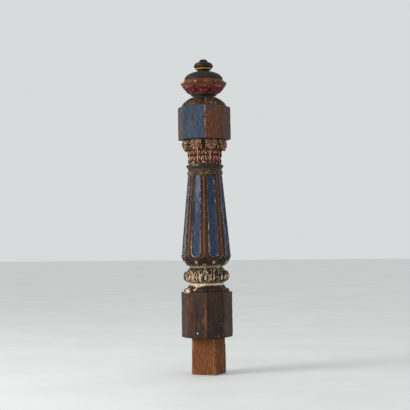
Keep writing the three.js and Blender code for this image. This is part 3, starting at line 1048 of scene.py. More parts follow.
@dataclass
class Torus(Section):
    """The round fillet and the torus of lotus petals above it."""

    fillet_radius: float = 73
    radius: float = 96.5
    foot_radius: float = 70
    belly_height: float = 27
    shoulder_drop: float = 8
    neck_radius: float = 68.5
    wide_petal: float = 27
    gap_depth: float = 5.5
    sunk: float = 2.9
    wide_spring: float = 0.42
    wide_rise: float = 0.34
    narrow_spring: float = 0.5
    narrow_rise: float = 0.27
    drop_centre: float = 0.27
    flutes_a_face: int = 14
    leaves_a_face: int = 3
    leaf_foot: float = 0.72
    seed: int = 31
    step: float = 1.35
    sides: int = 560
    finish: OldFinish = OldFinish(
        "petals_with_worn_gesso",
        coats=(
            Coat((50, 38, 30), (74, 54, 38), 0.75, Pattern.FLAKES,
                 ragged=0.8, rubbed=0.1, roughness=0.55),
            Coat((70, 50, 38), (54, 42, 33), "ground", Pattern.BLOTCHES,
                 ragged=1.0, rubbed=0.0, roughness=0.6),
            Coat((220, 195, 163), (184, 156, 122), "gesso", Pattern.FLAKES,
                 ragged=1.15, rubbed=-0.12, roughness=0.8),
            # Painted light: a brighter cream that lifts the fillet out of the shade under the
            # torus.
            Coat((240, 222, 198), (226, 202, 172), "fillet", Pattern.FLAKES,
                 ragged=0.8, rubbed=0.0, roughness=0.8),
            Coat((214, 190, 146), (178, 140, 94), "gilt", Pattern.FLAKES,
                 ragged=0.8, rubbed=-0.1, roughness=0.6),
        ),
        grime_share=0.9,
    )

    def build(self) -> list[bpy.types.Object]:
        """Turns the fillet and the torus and carves the petals.

        Returns:
            The fillet and torus, as one piece.
        """
        level, top = HEIGHTS.level("torus"), HEIGHTS.level("vase")
        start = HEIGHTS.level("fillet")
        outline = Outline(0, start - OVERLAP, self.step)
        outline.jump(self.fillet_radius - 2 * OVERLAP, start - OVERLAP)
        outline.line(self.fillet_radius - OVERLAP, start - 1)
        outline.curve(self.fillet_radius + OVERLAP, start + HEIGHTS.fillet / 2,
                      self.fillet_radius - OVERLAP, level)
        outline.line(self.foot_radius, level + 1)
        outline.curve(self.radius, level + OVERLAP, self.radius, level + self.belly_height)
        outline.curve(self.radius, (level + self.belly_height + top) / 2,
                      self.neck_radius + 3, top - self.shoulder_drop)
        outline.line(self.neck_radius - 1, top)
        outline.jump(0, top + OVERLAP)
        return self.carved(Bench.spin("torus", outline, self.sides))

    def carve(self, carving: Carving) -> None:
        """Carves wide petals on the corners, narrow ones between them and leaves above.

        Args:
            carving: The torus's points.
        """
        rise = (carving.level - HEIGHTS.level("torus")) / HEIGHTS.torus
        sway = Unevenness(self.seed).at(carving.points, (40, 40, 40)) * 0.03 - 0.015
        angle = carving.angle + sway
        wide_half = math.radians(self.wide_petal / 2)
        aside = nearest(angle, CORNER) / wide_half
        between = nearest(angle) / (CORNER - wide_half)
        wide_over, narrow_over = rise - self.wide_spring, rise - self.narrow_spring
        arch = np.where(wide_over > 0, np.hypot(aside, wide_over / self.wide_rise), np.abs(aside))
        slot = np.where(narrow_over > 0, np.hypot(between, narrow_over / self.narrow_rise),
                        np.abs(between))
        is_wide = np.abs(aside) < 1
        body = smooth(rise, 0.0, 0.08) * smooth(rise, 0.86, 0.78)
        outer = np.where(is_wide, ridge(arch - 0.90, 0.13), ridge(slot - 0.84, 0.22))
        inner = np.where(is_wide, ridge(arch - 0.60, 0.09),
                         ridge(between, 0.26) * smooth(rise, 0.66, 0.58))
        above_drop = rise - self.drop_centre
        drop = np.hypot(aside / 0.22, np.minimum(above_drop, above_drop / 2.0) / 0.13)
        tear = np.where(is_wide, np.sqrt(np.clip(1 - drop ** 2, 0, 1)), 0)
        gap = np.where(is_wide, smooth(arch, 0.98, 1.04), smooth(slot, 1.0, 1.1))
        fine = nearest(angle, 0, SECTOR / self.flutes_a_face) * carving.radius
        flute = ridge(fine, 1.8) * smooth(rise, 0.62, 0.5)
        depth = -self.sunk + 2.4 * outer + 1.8 * inner + 2.2 * tear + 0.7 * flute
        depth -= (self.gap_depth - 2.8) * gap
        leaf_step = SECTOR / self.leaves_a_face
        leaf_turn = nearest(angle, 0, leaf_step) / (leaf_step / 2)
        leaf_rise = (rise - self.leaf_foot) / 0.26
        leaf_edge = 1 - np.abs(leaf_turn) - (1 - leaf_rise) * 0.75
        leaf, leaf_line = smooth(leaf_edge, 0, 0.3), ridge(leaf_edge, 0.22)
        upper = smooth(rise, 0.74, 0.8) * smooth(rise, 1.0, 0.95)
        depth = depth * body + (-2.4 + 2.0 * leaf) * upper
        rough = Unevenness(self.seed + 1).rough(carving.points, (7, 7, 9))
        carving.push((depth - 0.8 * rough) * smooth(rise, -0.15, 0.0) - 0.3 * rough)
        edges = np.maximum.reduce([outer, 0.8 * inner, 0.5 * flute]) * body + leaf_line * upper
        self.mark_gesso(carving, rise, edges, np.maximum(upper, body * 0.8))
        base_line = ridge(rise - 0.045, 0.05) * smooth(np.abs(aside), 1.0, 0.7)
        carving.mark("gilt", 0.9 * smooth(tear, 0.2, 0.5) + 0.55 * base_line)
        carving.mark("ground", 0.3 + 0.4 * gap)
        # Grime and painted shade in the gaps between the petals and in the deep cuts.
        carving.mark("hollow", body * np.maximum(gap, smooth(depth, -1.6, -3.2)) * 0.9)

    def mark_gesso(self, carving: Carving, rise: Array, edges: Array, carved: Array) -> None:
        """Marks the white ground that is left on the fillet, the neck and the carving's edges, and
        the painted light on the fillet.

        Args:
            carving: The torus's points.
            rise: How high each point is, from 0 at the torus's foot to 1 at its top.
            edges: How much of a raised edge it is.
            carved: How much of a petal or leaf it is.
        """
        fillet = smooth(rise, 0.02, -0.01)
        worn = Unevenness(self.seed + 2).rough(carving.points, (30, 30, 24))
        right = smooth(carving.degrees, 40, 75) * smooth(carving.degrees, 150, 120)
        neck = smooth(rise, 0.93, 0.99)
        blotch = 0.3 * smooth(worn, 0.42, 0.62) * carved
        share = edges * (0.6 - 0.24 * right) + blotch + 0.95 * fillet + 0.7 * neck
        carving.mark("gesso", share - 0.05)
        # Painted light on the fillet, brighter than its gesso.
        carving.mark("fillet", 0.85 * fillet)


@dataclass
class Vase(Section):
    """The vase-shaped shaft with its ribs, sunk panels, buds and frieze of rosettes."""

    neck_radius: float = 68.5
    belly_radius: float = 100.5
    belly_height: float = 58
    belly_length: float = 35
    belly_taper: float = 3
    top_radius: float = 70
    panel_foot: float = 42
    panel_head: float = 377
    foot_half: float = 18
    head_half: float = 11.5
    panel_depth: float = 6
    bead: float = 5
    rib_rise: float = 3.5
    lobe: float = 3.5
    arm_point: float = 5
    bud_level: float = 17
    rosette_level: float = 386
    rosette_radius: float = 7.6
    # Share of the pale coat on each face: paint, and painted reflection, most of all on the
    # far-left face.
    paleness: tuple[float, ...] = (0.2, 0.16, 0.48, 0.2, 0.3, 0.36, 0.3, 0.8)
    seed: int = 41
    step: float = 2.15
    sides: int = 448
    finish: OldFinish = OldFinish(
        "ribs_and_blue_panels",
        coats=(
            Coat((69, 50, 38), (88, 64, 48), 0.85, Pattern.STREAKS,
                 ragged=0.6, rubbed=0.1, roughness=0.5),
            Coat((112, 70, 48), (92, 56, 40), "rib", Pattern.STREAKS,
                 ragged=0.8, rubbed=0.0, roughness=0.55),
            Coat((150, 112, 80), (126, 90, 62), 0.16, Pattern.FLAKES,
                 ragged=1.2, rubbed=-0.3, roughness=0.6),
            Coat((38, 30, 24), (62, 47, 35), "foot", Pattern.FLAKES,
                 ragged=0.6, rubbed=0.35, roughness=0.5),
            Coat((190, 168, 142), (158, 132, 104), "bead", Pattern.FLAKES,
                 ragged=1.1, rubbed=-0.15, roughness=0.75),
            Coat((38, 57, 88), (50, 66, 92), "blue", Pattern.STREAKS,
                 ragged=0.35, rubbed=0.1, roughness=0.5, fringe=(40, 42, 48)),
            # Pale coat: paint, and painted reflection on the far-left face.
            Coat((80, 92, 116), (102, 110, 124), "pale", Pattern.STREAKS,
                 ragged=1.5, rubbed=0.0, roughness=0.5),
            Coat((122, 68, 44), (96, 58, 40), "rose", Pattern.FLAKES,
                 ragged=0.9, rubbed=0.0, roughness=0.55),
            Coat((202, 182, 146), (158, 134, 98), "gilt", Pattern.FLAKES,
                 ragged=1.0, rubbed=0.0, roughness=0.6),
        ),
        grime_share=0.9,
    )

    def build(self) -> list[bpy.types.Object]:
        """Turns the shaft and carves it.

        Returns:
            The shaft.
        """
        level = HEIGHTS.level("vase")
        outline = Outline(0, level - OVERLAP, self.step)
        outline.jump(self.neck_radius, level - OVERLAP).line(self.neck_radius, level)
        outline.curve(self.belly_radius + 1, level + self.belly_height * 0.2,
                      self.belly_radius, level + self.belly_height)
        outline.line(self.belly_radius - self.belly_taper,
                     level + self.belly_height + self.belly_length)
        outline.line(self.top_radius + 1, level + self.panel_head)
        outline.line(self.top_radius, level + HEIGHTS.vase)
        outline.jump(0, level + HEIGHTS.vase + OVERLAP)
        return self.carved(Bench.spin("vase_shaft", outline, self.sides))

    def from_panel(self, across: Array, height: Array) -> Array:
        """How far a point lies outside a panel's outline, or inside it where below 0.

        Args:
            across: How far round the shaft each point is from a face's middle.
            height: How high it is above the shaft's foot.

        Returns:
            The distance, in millimetres.
        """
        foot, head = self.panel_foot + self.foot_half, self.panel_head - self.head_half
        share = np.clip((height - foot) / (head - foot), 0, 1)
        half = mixed(self.foot_half, self.head_half, share)
        past = np.maximum(foot - height, 0) + np.maximum(height - head, 0)
        return np.hypot(across, past) - half

    def carve(self, carving: Carving) -> None:
        """Sinks the panels and raises the ribs, beads, buds, leaves and rosettes.

        Args:
            carving: The shaft's points.
        """
        height = carving.level - HEIGHTS.level("vase")
        rough = Unevenness(self.seed)
        sway = (rough.at(carving.points, (60, 60, 90)) - 0.5) * 0.02
        face = nearest(carving.angle + sway)
        across = face * carving.radius
        off_rib = nearest(carving.angle + sway, CORNER) * carving.radius
        outside = self.from_panel(across, height)
        body = smooth(height, 40, 52) * smooth(height, 382, 374)
        foot = smooth(height, 42, 21) * smooth(height, 0, 10)
        surface = -self.rib_rise * body - self.lobe * smooth(np.abs(face), 0, CORNER) * foot
        half_rib = mixed(4.0, 6.5, smooth(height, self.panel_head, self.belly_height))
        rib = ridge(off_rib, half_rib) * body
        flank = ridge(np.abs(off_rib) - half_rib - 1.4, 1.7) * body
        surface += self.rib_rise * rib - 1.6 * flank
        arm_line = outside - mixed(8.5, 21.5, smooth(height, 16, 47))
        arm_line = arm_line - self.arm_point * np.exp(-np.abs(across) / self.arm_point)
        arm_reach = smooth(height, 51, 45) * smooth(height, 5, 12)
        arm = ridge(arm_line, 4.0) * arm_reach
        surface += 3.0 * arm - 1.8 * ridge(np.abs(arm_line) - 5.0, 1.7) * arm_reach * (1 - arm)
        leaf_edge = 1 - np.hypot(off_rib / 10, (height - 19) / 18)
        leaf = smooth(leaf_edge, 0, 0.25) * (1 - arm)
        surface += leaf * (3.2 - 1.6 * ridge(np.abs(off_rib) - 3.6, 1.5))
        bead = ridge(outside - self.bead / 2, self.bead / 2)
        surface = mixed(surface, np.maximum(surface, -0.5) + 0.2, bead)
        surface -= 1.7 * ridge(outside - self.bead - 1.4, 1.6)
        arches = ridge(outside - 9.5, 1.7) + ridge(outside - 14.5, 1.6)
        arches *= smooth(height, 366, 376) * smooth(height, HEIGHTS.vase - 1, HEIGHTS.vase - 4)
        arches = np.clip(arches, 0, 1)
        bloom, bloom_ring = self.rosette(off_rib, height - self.rosette_level)
        surface += 1.8 * arches * (1 - bloom) + (3.0 - 1.6 * bloom_ring) * bloom
        bud_reach = np.hypot(across / 6.5, (height - self.bud_level) / 8)
        bud = np.sqrt(np.clip(1 - bud_reach ** 2, 0, 1))
        surface = np.maximum(surface, -1.0 + 4.6 * bud * (bud > 0) - 4 * (bud <= 0))
        floor = (carving.radius - self.panel_depth - 1) / np.cos(face) - carving.radius
        floor += 0.7 * rough.at(carving.points, (18, 18, 60)) - 0.4
        inside = smooth(outside, 0.2, -1.5)
        surface = mixed(surface, floor, inside)
        surface -= 0.5 * rough.rough(carving.points, (8, 8, 26)) * (1 - inside)
        carving.widen(np.where(height > -2, surface, 0))
        self.mark_panels(carving, height, outside)
        self.mark_ribs(carving, height, outside, rib, arm, bud)
        self.mark_bright(carving, height, {"arm": arm, "bead": bead, "bud": bud, "arches": arches,
                                           "bloom": bloom})

    def rosette(self, aside: Array, above: Array) -> tuple[Array, Array]:
        """One rosette of the frieze.

        Args:
            aside: How far each point is to the side of the rosette's middle.
            above: How far it is above the middle.

        Returns:
            Where the rosette is, from 0 to 1, and the ring cut into it.
        """
        reach = np.hypot(aside, above)
        edge = self.rosette_radius + 1.0 * np.cos(6 * np.arctan2(above, aside))
        return smooth(edge - reach, 0, 2), ridge(reach - 3.2, 1.2)

    def mark_panels(self, carving: Carving, height: Array, outside: Array) -> None:
        """Marks the blue of the panels and the pale coat on it, which is partly paint and partly
        painted reflection: palest on the far-left face and near the top of the front one.

        Args:
            carving: The shaft's points.
            height: How high each point is above the shaft's foot.
            outside: How far it lies outside a panel's outline.
        """
        face = carving.face()
        upper = smooth(height, 190, 350)
        # Pale coat by face: partly paint, partly painted reflection.
        pale = np.choose(face, self.paleness) + 0.68 * upper * (face == 0) - 0.12 * (1 - upper)
        carving.mark("blue", smooth(outside, 0.6, -0.4))
        carving.mark("pale", np.where(outside < 0.3, pale, 0))

    def mark_ribs(self, carving: Carving, height: Array, outside: Array, rib: Array, arm: Array,
                  bud: Array) -> None:
        """Marks the ribs' brown, the blackened foot, and the grime and painted shade in its
        hollows.

        Args:
            carving: The shaft's points.
            height: How high each point is above the shaft's foot.
            outside: How far it lies outside a panel's outline.
            rib: How much of a rib it is.
            arm: How much of a rib's arm, under a panel.
            bud: How much of a bud.
        """
        carving.mark("rib", np.maximum(0.75 * rib, 0.66 * smooth(arm, 0.1, 0.7)) + 0.1)
        carving.mark("foot", 0.95 * smooth(height, 58, 28) * (1 - 0.65 * arm)
                     + 0.5 * smooth(height, 372, 384))
        # Grime and painted shade in the hollows of the foot, between the arms.
        hollow = smooth(height, 60, 40) * smooth(height, 3, 8) * smooth(outside, 5, 9) * (1 - arm)
        carving.mark("hollow", 0.6 * hollow * smooth(bud, 0.1, 0))

    def mark_bright(self, carving: Carving, height: Array, forms: dict[str, Array]) -> None:
        """Marks the worn beads, the rosettes and the touches of gilt.

        Args:
            carving: The shaft's points.
            height: How high each point is above the shaft's foot.
            forms: How much of an arm, bead, bud, arch or bloom each point is.
        """
        arm, bead, bud, arches, bloom = forms.values()
        worn = Unevenness(self.seed + 1).rough(carving.points, (24, 24, 60))
        left = smooth(np.abs(carving.degrees + 2), 60, 10)
        low = smooth(height, 200, 50)
        line = 0.24 + 0.34 * left * low + 0.16 * low + 0.35 * (worn - 0.5)
        neck = smooth(height, 6, 2.5)
        carving.mark("bead", np.maximum.reduce(
            [bead * line * (1 - bloom), 0.3 * arm * worn / 0.5, 0.95 * neck * (0.5 + worn)]))
        carving.mark("rose", 0.58 * bloom)
        petal = ridge(carving.aside(CORNER), 14)
        crumbs = smooth(height, 17, 8) * smooth(height, 5, 7) * (0.12 + 0.3 * petal + 0.5 * worn)
        left_arches = arches * (0.28 + 0.5 * worn + 0.1 * left)
        carving.mark("gilt", 0.9 * smooth(bud, 0.15, 0.4) + left_arches + crumbs)


@dataclass
class Capital(Section):
    """The collar, and the bell of the capital with its darts and loops."""

    top_radius: float = 70
    collar_radius: float = 77.5
    edge_height: float = 12.5
    edge_thickness: float = 4
    bell_foot: float = 62.5
    bell_lip: float = 82
    dart_height: float = 34
    dart_half: float = 7.5
    dart_rise: float = 4
    loop_radius: float = 9.5
    loop_rise: float = 1.8
    seed: int = 51
    step: float = 1.7
    sides: int = 432
    finish: OldFinish = OldFinish(
        "red_bell",
        coats=(
            Coat((96, 33, 29), (70, 32, 27), 0.8, Pattern.FLAKES,
                 ragged=0.6, rubbed=0.1, roughness=0.55),
            Coat((212, 164, 134), (188, 132, 104), "pink", Pattern.FLAKES,
                 ragged=1.0, rubbed=-0.2, roughness=0.7),
            Coat((56, 48, 38), (44, 37, 31), "collar", Pattern.FLAKES,
                 ragged=0.5, rubbed=0.1, roughness=0.5),
            # Painted highlight: a pale green streak along the collar's top edge.
            Coat((148, 158, 120), (130, 138, 110), "lichen", Pattern.FLAKES,
                 ragged=1.0, rubbed=-0.2, roughness=0.7),
        ),
    )

    def build(self) -> list[bpy.types.Object]:
        """Turns the collar and the bell and carves what stands at their foot.

        Returns:
            The collar and bell, as one piece.
        """
        start, level = HEIGHTS.level("collar"), HEIGHTS.level("capital")
        outline = Outline(0, start - OVERLAP, self.step)
        outline.jump(self.top_radius - OVERLAP, start - OVERLAP)
        edge = start + self.edge_height
        outline.curve(self.collar_radius, start + self.edge_height / 2, self.collar_radius, edge)
        outline.line(self.collar_radius - 2, edge + self.edge_thickness)
        outline.line(self.bell_foot, level - 1)
        outline.curve(self.bell_foot + 2, level + HEIGHTS.capital * 0.8,
                      self.bell_lip, level + HEIGHTS.capital + 1)
        outline.jump(0, level + HEIGHTS.capital + OVERLAP)
        return self.carved(Bench.spin("capital_bell", outline, self.sides))

    def carve(self, carving: Carving) -> None:
        """Raises the darts on the corners and the loops round the foot.

        Args:
            carving: The collar's and the bell's points.
        """
        height = carving.level - HEIGHTS.level("capital")
        left_above = np.clip(1 - height / self.dart_height, 0.001, 1)
        dart_edge = 1 - np.abs(carving.aside(CORNER)) / (self.dart_half * np.sqrt(left_above))
        dart = smooth(dart_edge, 0, 0.5) * (height > 0) * (height < self.dart_height)
        loop_reach = np.hypot(carving.aside(CORNER / 2, CORNER), height - 1)
        loop = ridge(loop_reach - self.loop_radius, 1.8) * smooth(height, -1, 2)
        above = smooth(height, -2, 1)
        rough = Unevenness(self.seed).rough(carving.points, (6, 6, 9))
        raised = self.dart_rise * dart + self.loop_rise * loop * (1 - dart)
        carving.push(above * raised - 0.5 * rough)
        rim = ridge(height + 6, 3.5)
        carving.mark("pink", above * np.maximum(0.55 * loop, 0.35 * dart) + 0.06)
        # Painted shade on the upper bell, behind the leaves' curls and under the upper block.
        carving.mark("hollow", 0.9 * smooth(height, 50, 80))
        carving.mark("collar", smooth(height, 0.5, -1))
        # Painted highlight along the collar's top edge, strongest at the front.
        carving.mark("lichen", rim * (0.26 + 0.42 * smooth(np.abs(carving.degrees + 5), 17, 6)))


@dataclass
class Leaves(Section):
    """Eight tall leaves that climb the bell and curl out under the upper block."""

    foot_radius: float = 64
    foot_width: float = 44
    neck_width: float = 36
    curl_width: float = 48
    tip_width: float = 20
    reach: float = 88.5
    droop: float = 36
    thickness: float = 7
    rib: float = 2
    lobes: int = 8
    sweep: float = 1.5
    notch_cut: float = 0.34
    left_on_right: float = 0.9
    right_side: tuple[int, ...] = (1, 2, 3)
    seed: int = 60
    rough_depth: float = 0.9
    rough_size: Size = (9, 9, 12)
    columns: int = 48
    rows: int = 110
    finish: OldFinish = OldFinish(
        "leaf_paint_over_gesso",
        coats=(
            Coat((164, 106, 80), (136, 84, 64), 0.8, Pattern.FLAKES,
                 ragged=0.7, rubbed=0.1, roughness=0.55),
            Coat((140, 90, 50), (106, 74, 44), "ochre", Pattern.BLOTCHES,
                 ragged=1.2, rubbed=0.0, roughness=0.55),
            Coat((220, 174, 146), (206, 170, 138), "pink", Pattern.FLAKES,
                 ragged=1.0, rubbed=-0.3, roughness=0.7),
            Coat((98, 36, 32), (78, 33, 29), "red", Pattern.FLAKES,
                 ragged=0.7, rubbed=0.2, roughness=0.55),
        ),
    )

    def build(self) -> list[bpy.types.Object]:
        """Shapes one leaf and sets a copy of it on each face.

        Returns:
            The eight leaves.
        """
        Bench.clear()
        bpy.ops.mesh.primitive_grid_add(
            x_subdivisions=self.columns, y_subdivisions=self.rows, size=2)
        first = Bench.named("capital_leaf_1")
        self.carved(first)
        thicken = first.modifiers.new("thickness", "SOLIDIFY")
        thicken.thickness = self.thickness * MM
        thicken.offset = -1
        bpy.ops.object.modifier_apply(modifier=thicken.name)
        leaves = Bench.round_the_post(first, "capital_leaf", 0)
        for place, leaf in enumerate(leaves):
            carving = Carving(leaf)
            rough = Unevenness(self.seed + place).rough(carving.points, self.rough_size)
            carving.push(-self.rough_depth * rough)
            carving.fade("pink", self.left_on_right if place in self.right_side else 1)
            carving.write()
        return leaves

    def spine(self, along: Array) -> tuple[Array, Array]:
        """The leaf's middle line: how far out and how high, at each share of its length.

        Args:
            along: The share of the leaf's length.

        Returns:
            How far out from the axis, and how high above the capital's foot.
        """
        top = HEIGHTS.capital - self.thickness / 2
        out = [self.foot_radius - 2.5, self.foot_radius - 2, self.foot_radius + 1, self.reach - 17,
               self.reach - 8, self.reach, self.reach, self.reach - 5]
        up = [0, top * 0.3, top * 0.57, top * 0.85, top, top - self.droop * 0.3,
              top - self.droop * 0.65, top - self.droop]
        return through(out, along), through(up, along)

    def carve(self, carving: Carving) -> None:
        """Lays a flat grid along the leaf's spine, cuts its lobes and raises its veins.

        Args:
            carving: The grid's points, from -1 to 1 across and along, in metres.
        """
        across, along = carving.points[:, 0] * MM, (carving.points[:, 1] * MM + 1) / 2
        out, up = self.spine(along)
        ahead_out, ahead_up = self.spine(along + 0.004)
        back_out, back_up = self.spine(along - 0.004)
        run = np.hypot(ahead_out - back_out, ahead_up - back_up)
        slope_out, slope_up = (ahead_out - back_out) / run, (ahead_up - back_up) / run
        widths = [self.foot_width * 0.8, self.foot_width, self.neck_width, self.curl_width,
                  self.tip_width]
        from_middle = np.abs(across)
        lobe_turn = along * self.lobes - self.sweep * from_middle
        between_lobes = lobe_turn - np.round(lobe_turn)
        on_lobe = lobe_turn - 0.5 - np.round(lobe_turn - 0.5)
        notch = ridge(between_lobes, 0.2)
        half = through(widths, along) / 2 * (1 - self.notch_cut * notch * from_middle ** 1.5)
        vein = ridge(on_lobe, 0.26) * smooth(from_middle, 0.12, 0.3)
        flute = ridge(between_lobes, 0.22) * smooth(from_middle, 0.1, 0.5)
        middle = ridge(across, 0.13)
        rise = self.thickness / 2 + self.rib * np.cos(2 * np.pi * across) * 0.7
        rise += 0.9 * middle + 1.3 * vein - 2.9 * flute - 1.6 * ridge(from_middle - 0.2, 0.09)
        radius = out + slope_up * rise
        angle = across * half / radius
        carving.points[:, 0] = radius * np.sin(angle)
        carving.points[:, 1] = -radius * np.cos(angle)
        carving.points[:, 2] = HEIGHTS.level("capital") + up - slope_out * rise
        edge = smooth(from_middle, 0.78, 0.95)
        high = np.maximum.reduce([0.62 * middle, 0.7 * vein, 0.66 * edge * (1 - 0.6 * notch)])
        curl = smooth(along, 0.45, 0.6)
        groove = np.maximum(flute, 0.8 * ridge(from_middle - 0.2, 0.1))
        carving.mark("pink", high * (0.84 + 0.2 * curl) + 0.07 + 0.2 * curl)
        carving.mark("ochre", 0.34 + 0.08 * curl)
        carving.mark("red", 0.75 * groove * (1 - curl) + 0.3 * notch)
        # Grime and painted shade in the flutes and grooves.
        carving.mark("hollow", groove * (0.42 + 0.2 * curl))


@dataclass
class Flowers(Section):
    """Small flowers between the leaves, on the corners of the octagon."""

    radius: float = 10
    level: float = 51
    distance: float = 65.5
    petals: int = 6
    petal_cut: float = 0.28
    petal_lift: float = 1.2
    flatness: float = 0.62
    segments: int = 36
    rings: int = 14
    finish: OldFinish = OldFinish(
        "flower_orange",
        coats=(
            Coat((150, 82, 46), (118, 66, 42), 0.8, Pattern.FLAKES,
                 ragged=0.8, rubbed=0.0, roughness=0.55),
            Coat((150, 128, 78), (124, 100, 58), 0.42, Pattern.FLAKES,
                 ragged=1.0, rubbed=0.0, roughness=0.6),
        ),
    )

    def build(self) -> list[bpy.types.Object]:
        """Shapes one flower from a flattened ball and sets a copy on each corner.

        Returns:
            The eight flowers.
        """
        Bench.clear()
        bpy.ops.mesh.primitive_uv_sphere_add(
            segments=self.segments, ring_count=self.rings, radius=self.radius * MM)
        first = Bench.named("capital_flower_1")
        self.carved(first)
        return Bench.round_the_post(first, "capital_flower", 0.5)

    def carve(self, carving: Carving) -> None:
        """Cuts the petals, flattens the ball and stands the flower up at the front.

        Args:
            carving: The ball's points.
        """
        turn = np.arctan2(carving.points[:, 1], carving.points[:, 0])
        reach = np.hypot(carving.points[:, 0], carving.points[:, 1]) / self.radius
        petal = 0.5 + 0.5 * np.cos(self.petals * turn)
        carving.points[:, :2] *= (1 - self.petal_cut * (1 - petal) * reach)[:, None]
        side = np.sign(carving.points[:, 2])
        lift = self.flatness * carving.points[:, 2] * (1 - 0.25 * ridge(reach - 0.42, 0.14))
        carving.points[:, 2] = lift + side * self.petal_lift * petal * ridge(reach - 0.7, 0.25)
        carving.points = carving.points[:, [0, 2, 1]] * np.array((1, -1, 1))
        carving.points += np.array((0, -self.distance, HEIGHTS.level("capital") + self.level))


@dataclass
class UpperBlock(Section):
    """The upper octagonal block, a little wider one way than the other."""

    width: float = 206
    depth: float = 197
    front_face: float = 102
    side_face: float = 82
    border: float = 9
    columns: int = 44
    rows: int = 60
    border_rows: int = 4
    wear: Wear = Wear(
        seed=71, ragged_size=(14, 14, 20), corner_depth=1.6, corner_width=3.5, end_depth=2,
        end_width=2.2, hollow_depth=0.8, hollow_size=(50, 50, 140), crack_depth=1.4,
        crack_size=(6, 6, 300))
    dents: int = 40
    dent_size: Range = (2.5, 4)
    dent_share: float = 0.4
    dent_seed: int = 73
    teal_height: float = 78
    patch_seed: int = 74
    patch_size: Size = (30, 30, 40)
    blue_left: tuple[float, ...] = (0.88, 0.14, 0.3, 0.6, 0.8, 0.3, 0.66, 0.2)
    grey_left: tuple[float, ...] = (0.2, 0.1, 0.34, 0.3, 0.2, 0.5, 0.3, 0.66)
    dark_left: tuple[float, ...] = (0.85, 0.38, 0.66, 0.5, 0.6, 0.5, 0.5, 0.55)
    finish: OldFinish = OldFinish(
        "slate_blue_and_bare_wood",
        coats=(
            Coat((118, 66, 38), (96, 58, 40), 0.62, Pattern.BLOTCHES,
                 ragged=1.3, rubbed=0.0, roughness=0.6),
            Coat((56, 48, 43), (76, 58, 44), "dark", Pattern.STREAKS,
                 ragged=1.2, rubbed=0.2, roughness=0.55),
            Coat((72, 66, 63), (60, 52, 47), "grey", Pattern.STREAKS,
                 ragged=1.1, rubbed=0.1, roughness=0.55),
            Coat((40, 58, 82), (56, 68, 82), "blue", Pattern.STREAKS,
                 ragged=1.2, rubbed=0.2, roughness=0.55, fringe=(54, 50, 50)),
            Coat((158, 138, 112), (134, 100, 72), "bright", Pattern.FLAKES,
                 ragged=1.1, rubbed=0.0, roughness=0.7),
            # Teal coat: a painted glint on the front edge.
            Coat((104, 140, 134), (96, 124, 120), "teal", Pattern.FLAKES,
                 ragged=0.3, rubbed=0.0, roughness=0.6),
        ),
        timber=((92, 50, 32), (150, 82, 46)),
        grain_depth=0.8,
        mottle=1.0,
    )

    def build(self) -> list[bpy.types.Object]:
        """Cuts the corners off a block, divides its faces and wears them.

        Returns:
            The block.
        """
        Bench.clear()
        level, height = HEIGHTS.level("upper_block"), HEIGHTS.upper_block
        front_cut = (self.width - self.front_face) / 2
        side_cut = (self.depth - self.side_face) / 2
        squeeze = front_cut / side_cut
        bpy.ops.mesh.primitive_cube_add(
            size=1, location=(0, 0, (level + height / 2) * MM),
            scale=(self.width / squeeze * MM, self.depth * MM, height * MM))
        piece = Bench.named("upper_block")
        bpy.ops.object.mode_set(mode="EDIT")
        Bench.choose_edges(Bench.is_upright)
        bpy.ops.mesh.bevel(offset=side_cut * MM, offset_type="OFFSET", segments=1, affect="EDGES")
        bpy.ops.mesh.select_all(action="SELECT")
        bpy.ops.transform.resize(value=(squeeze, 1, 1), center_override=(0, 0, 0))
        Bench.choose_face(lambda middle, normal: abs(normal.z) > 0.9)
        bpy.ops.mesh.inset(thickness=self.border * MM)
        Bench.cut(Bench.is_upright, self.rows)
        half = height / 2
        middle = level + half
        Bench.cut(lambda one, other: abs(one.z - other.z) < 0.1
                  and (one - other).length > 30, self.columns)
        Bench.cut(lambda one, other: abs(one.z - other.z) < 0.1 and 8 < (one - other).length < 14
                  and abs(abs(one.z - middle) - half) < 0.5
                  and abs(one.xy.length - other.xy.length) > 6, self.border_rows)
        bpy.ops.object.mode_set(mode="OBJECT")
        return self.carved(piece)

    def corners(self) -> list[tuple[float, float]]:
        """Where the block's eight upright edges stand.

        Returns:
            Their places across and along, in millimetres.
        """
        x, y = self.width / 2, self.depth / 2
        front, side = self.front_face / 2, self.side_face / 2
        return [(right * along_x, back * along_y)
                for along_x, along_y in ((front, y), (x, side))
                for right in (1, -1) for back in (1, -1)]

    def carve(self, carving: Carving) -> None:
        """Wears the edges, dents the faces and marks what is left of the paint.

        Args:
            carving: The block's points.
        """
        level = HEIGHTS.level("upper_block")
        top = level + HEIGHTS.upper_block
        from_edges = [np.hypot(carving.points[:, 0] - x, carving.points[:, 1] - y)
                      for x, y in self.corners()]
        corner = np.minimum.reduce(from_edges)
        ends = np.minimum(np.abs(carving.level - level), np.abs(carving.level - top))
        depth, _ = self.wear.work_out(carving, corner, ends, 1.0)
        chance = np.random.default_rng(self.dent_seed)
        least, spread = self.dent_size
        for _ in range(self.dents):
            from_edge = from_edges[chance.integers(FACES)]
            place = level + chance.random() * HEIGHTS.upper_block
            size = least + spread * chance.random()
            reach = np.hypot(from_edge, (carving.level - place) / 1.6) / size
            depth -= self.dent_share * size * (1 - smooth(reach, 0, 1))
        self.wear.cut(carving, depth)
        self.mark_faces(carving, corner)
        self.mark_edges(carving, from_edges, corner)

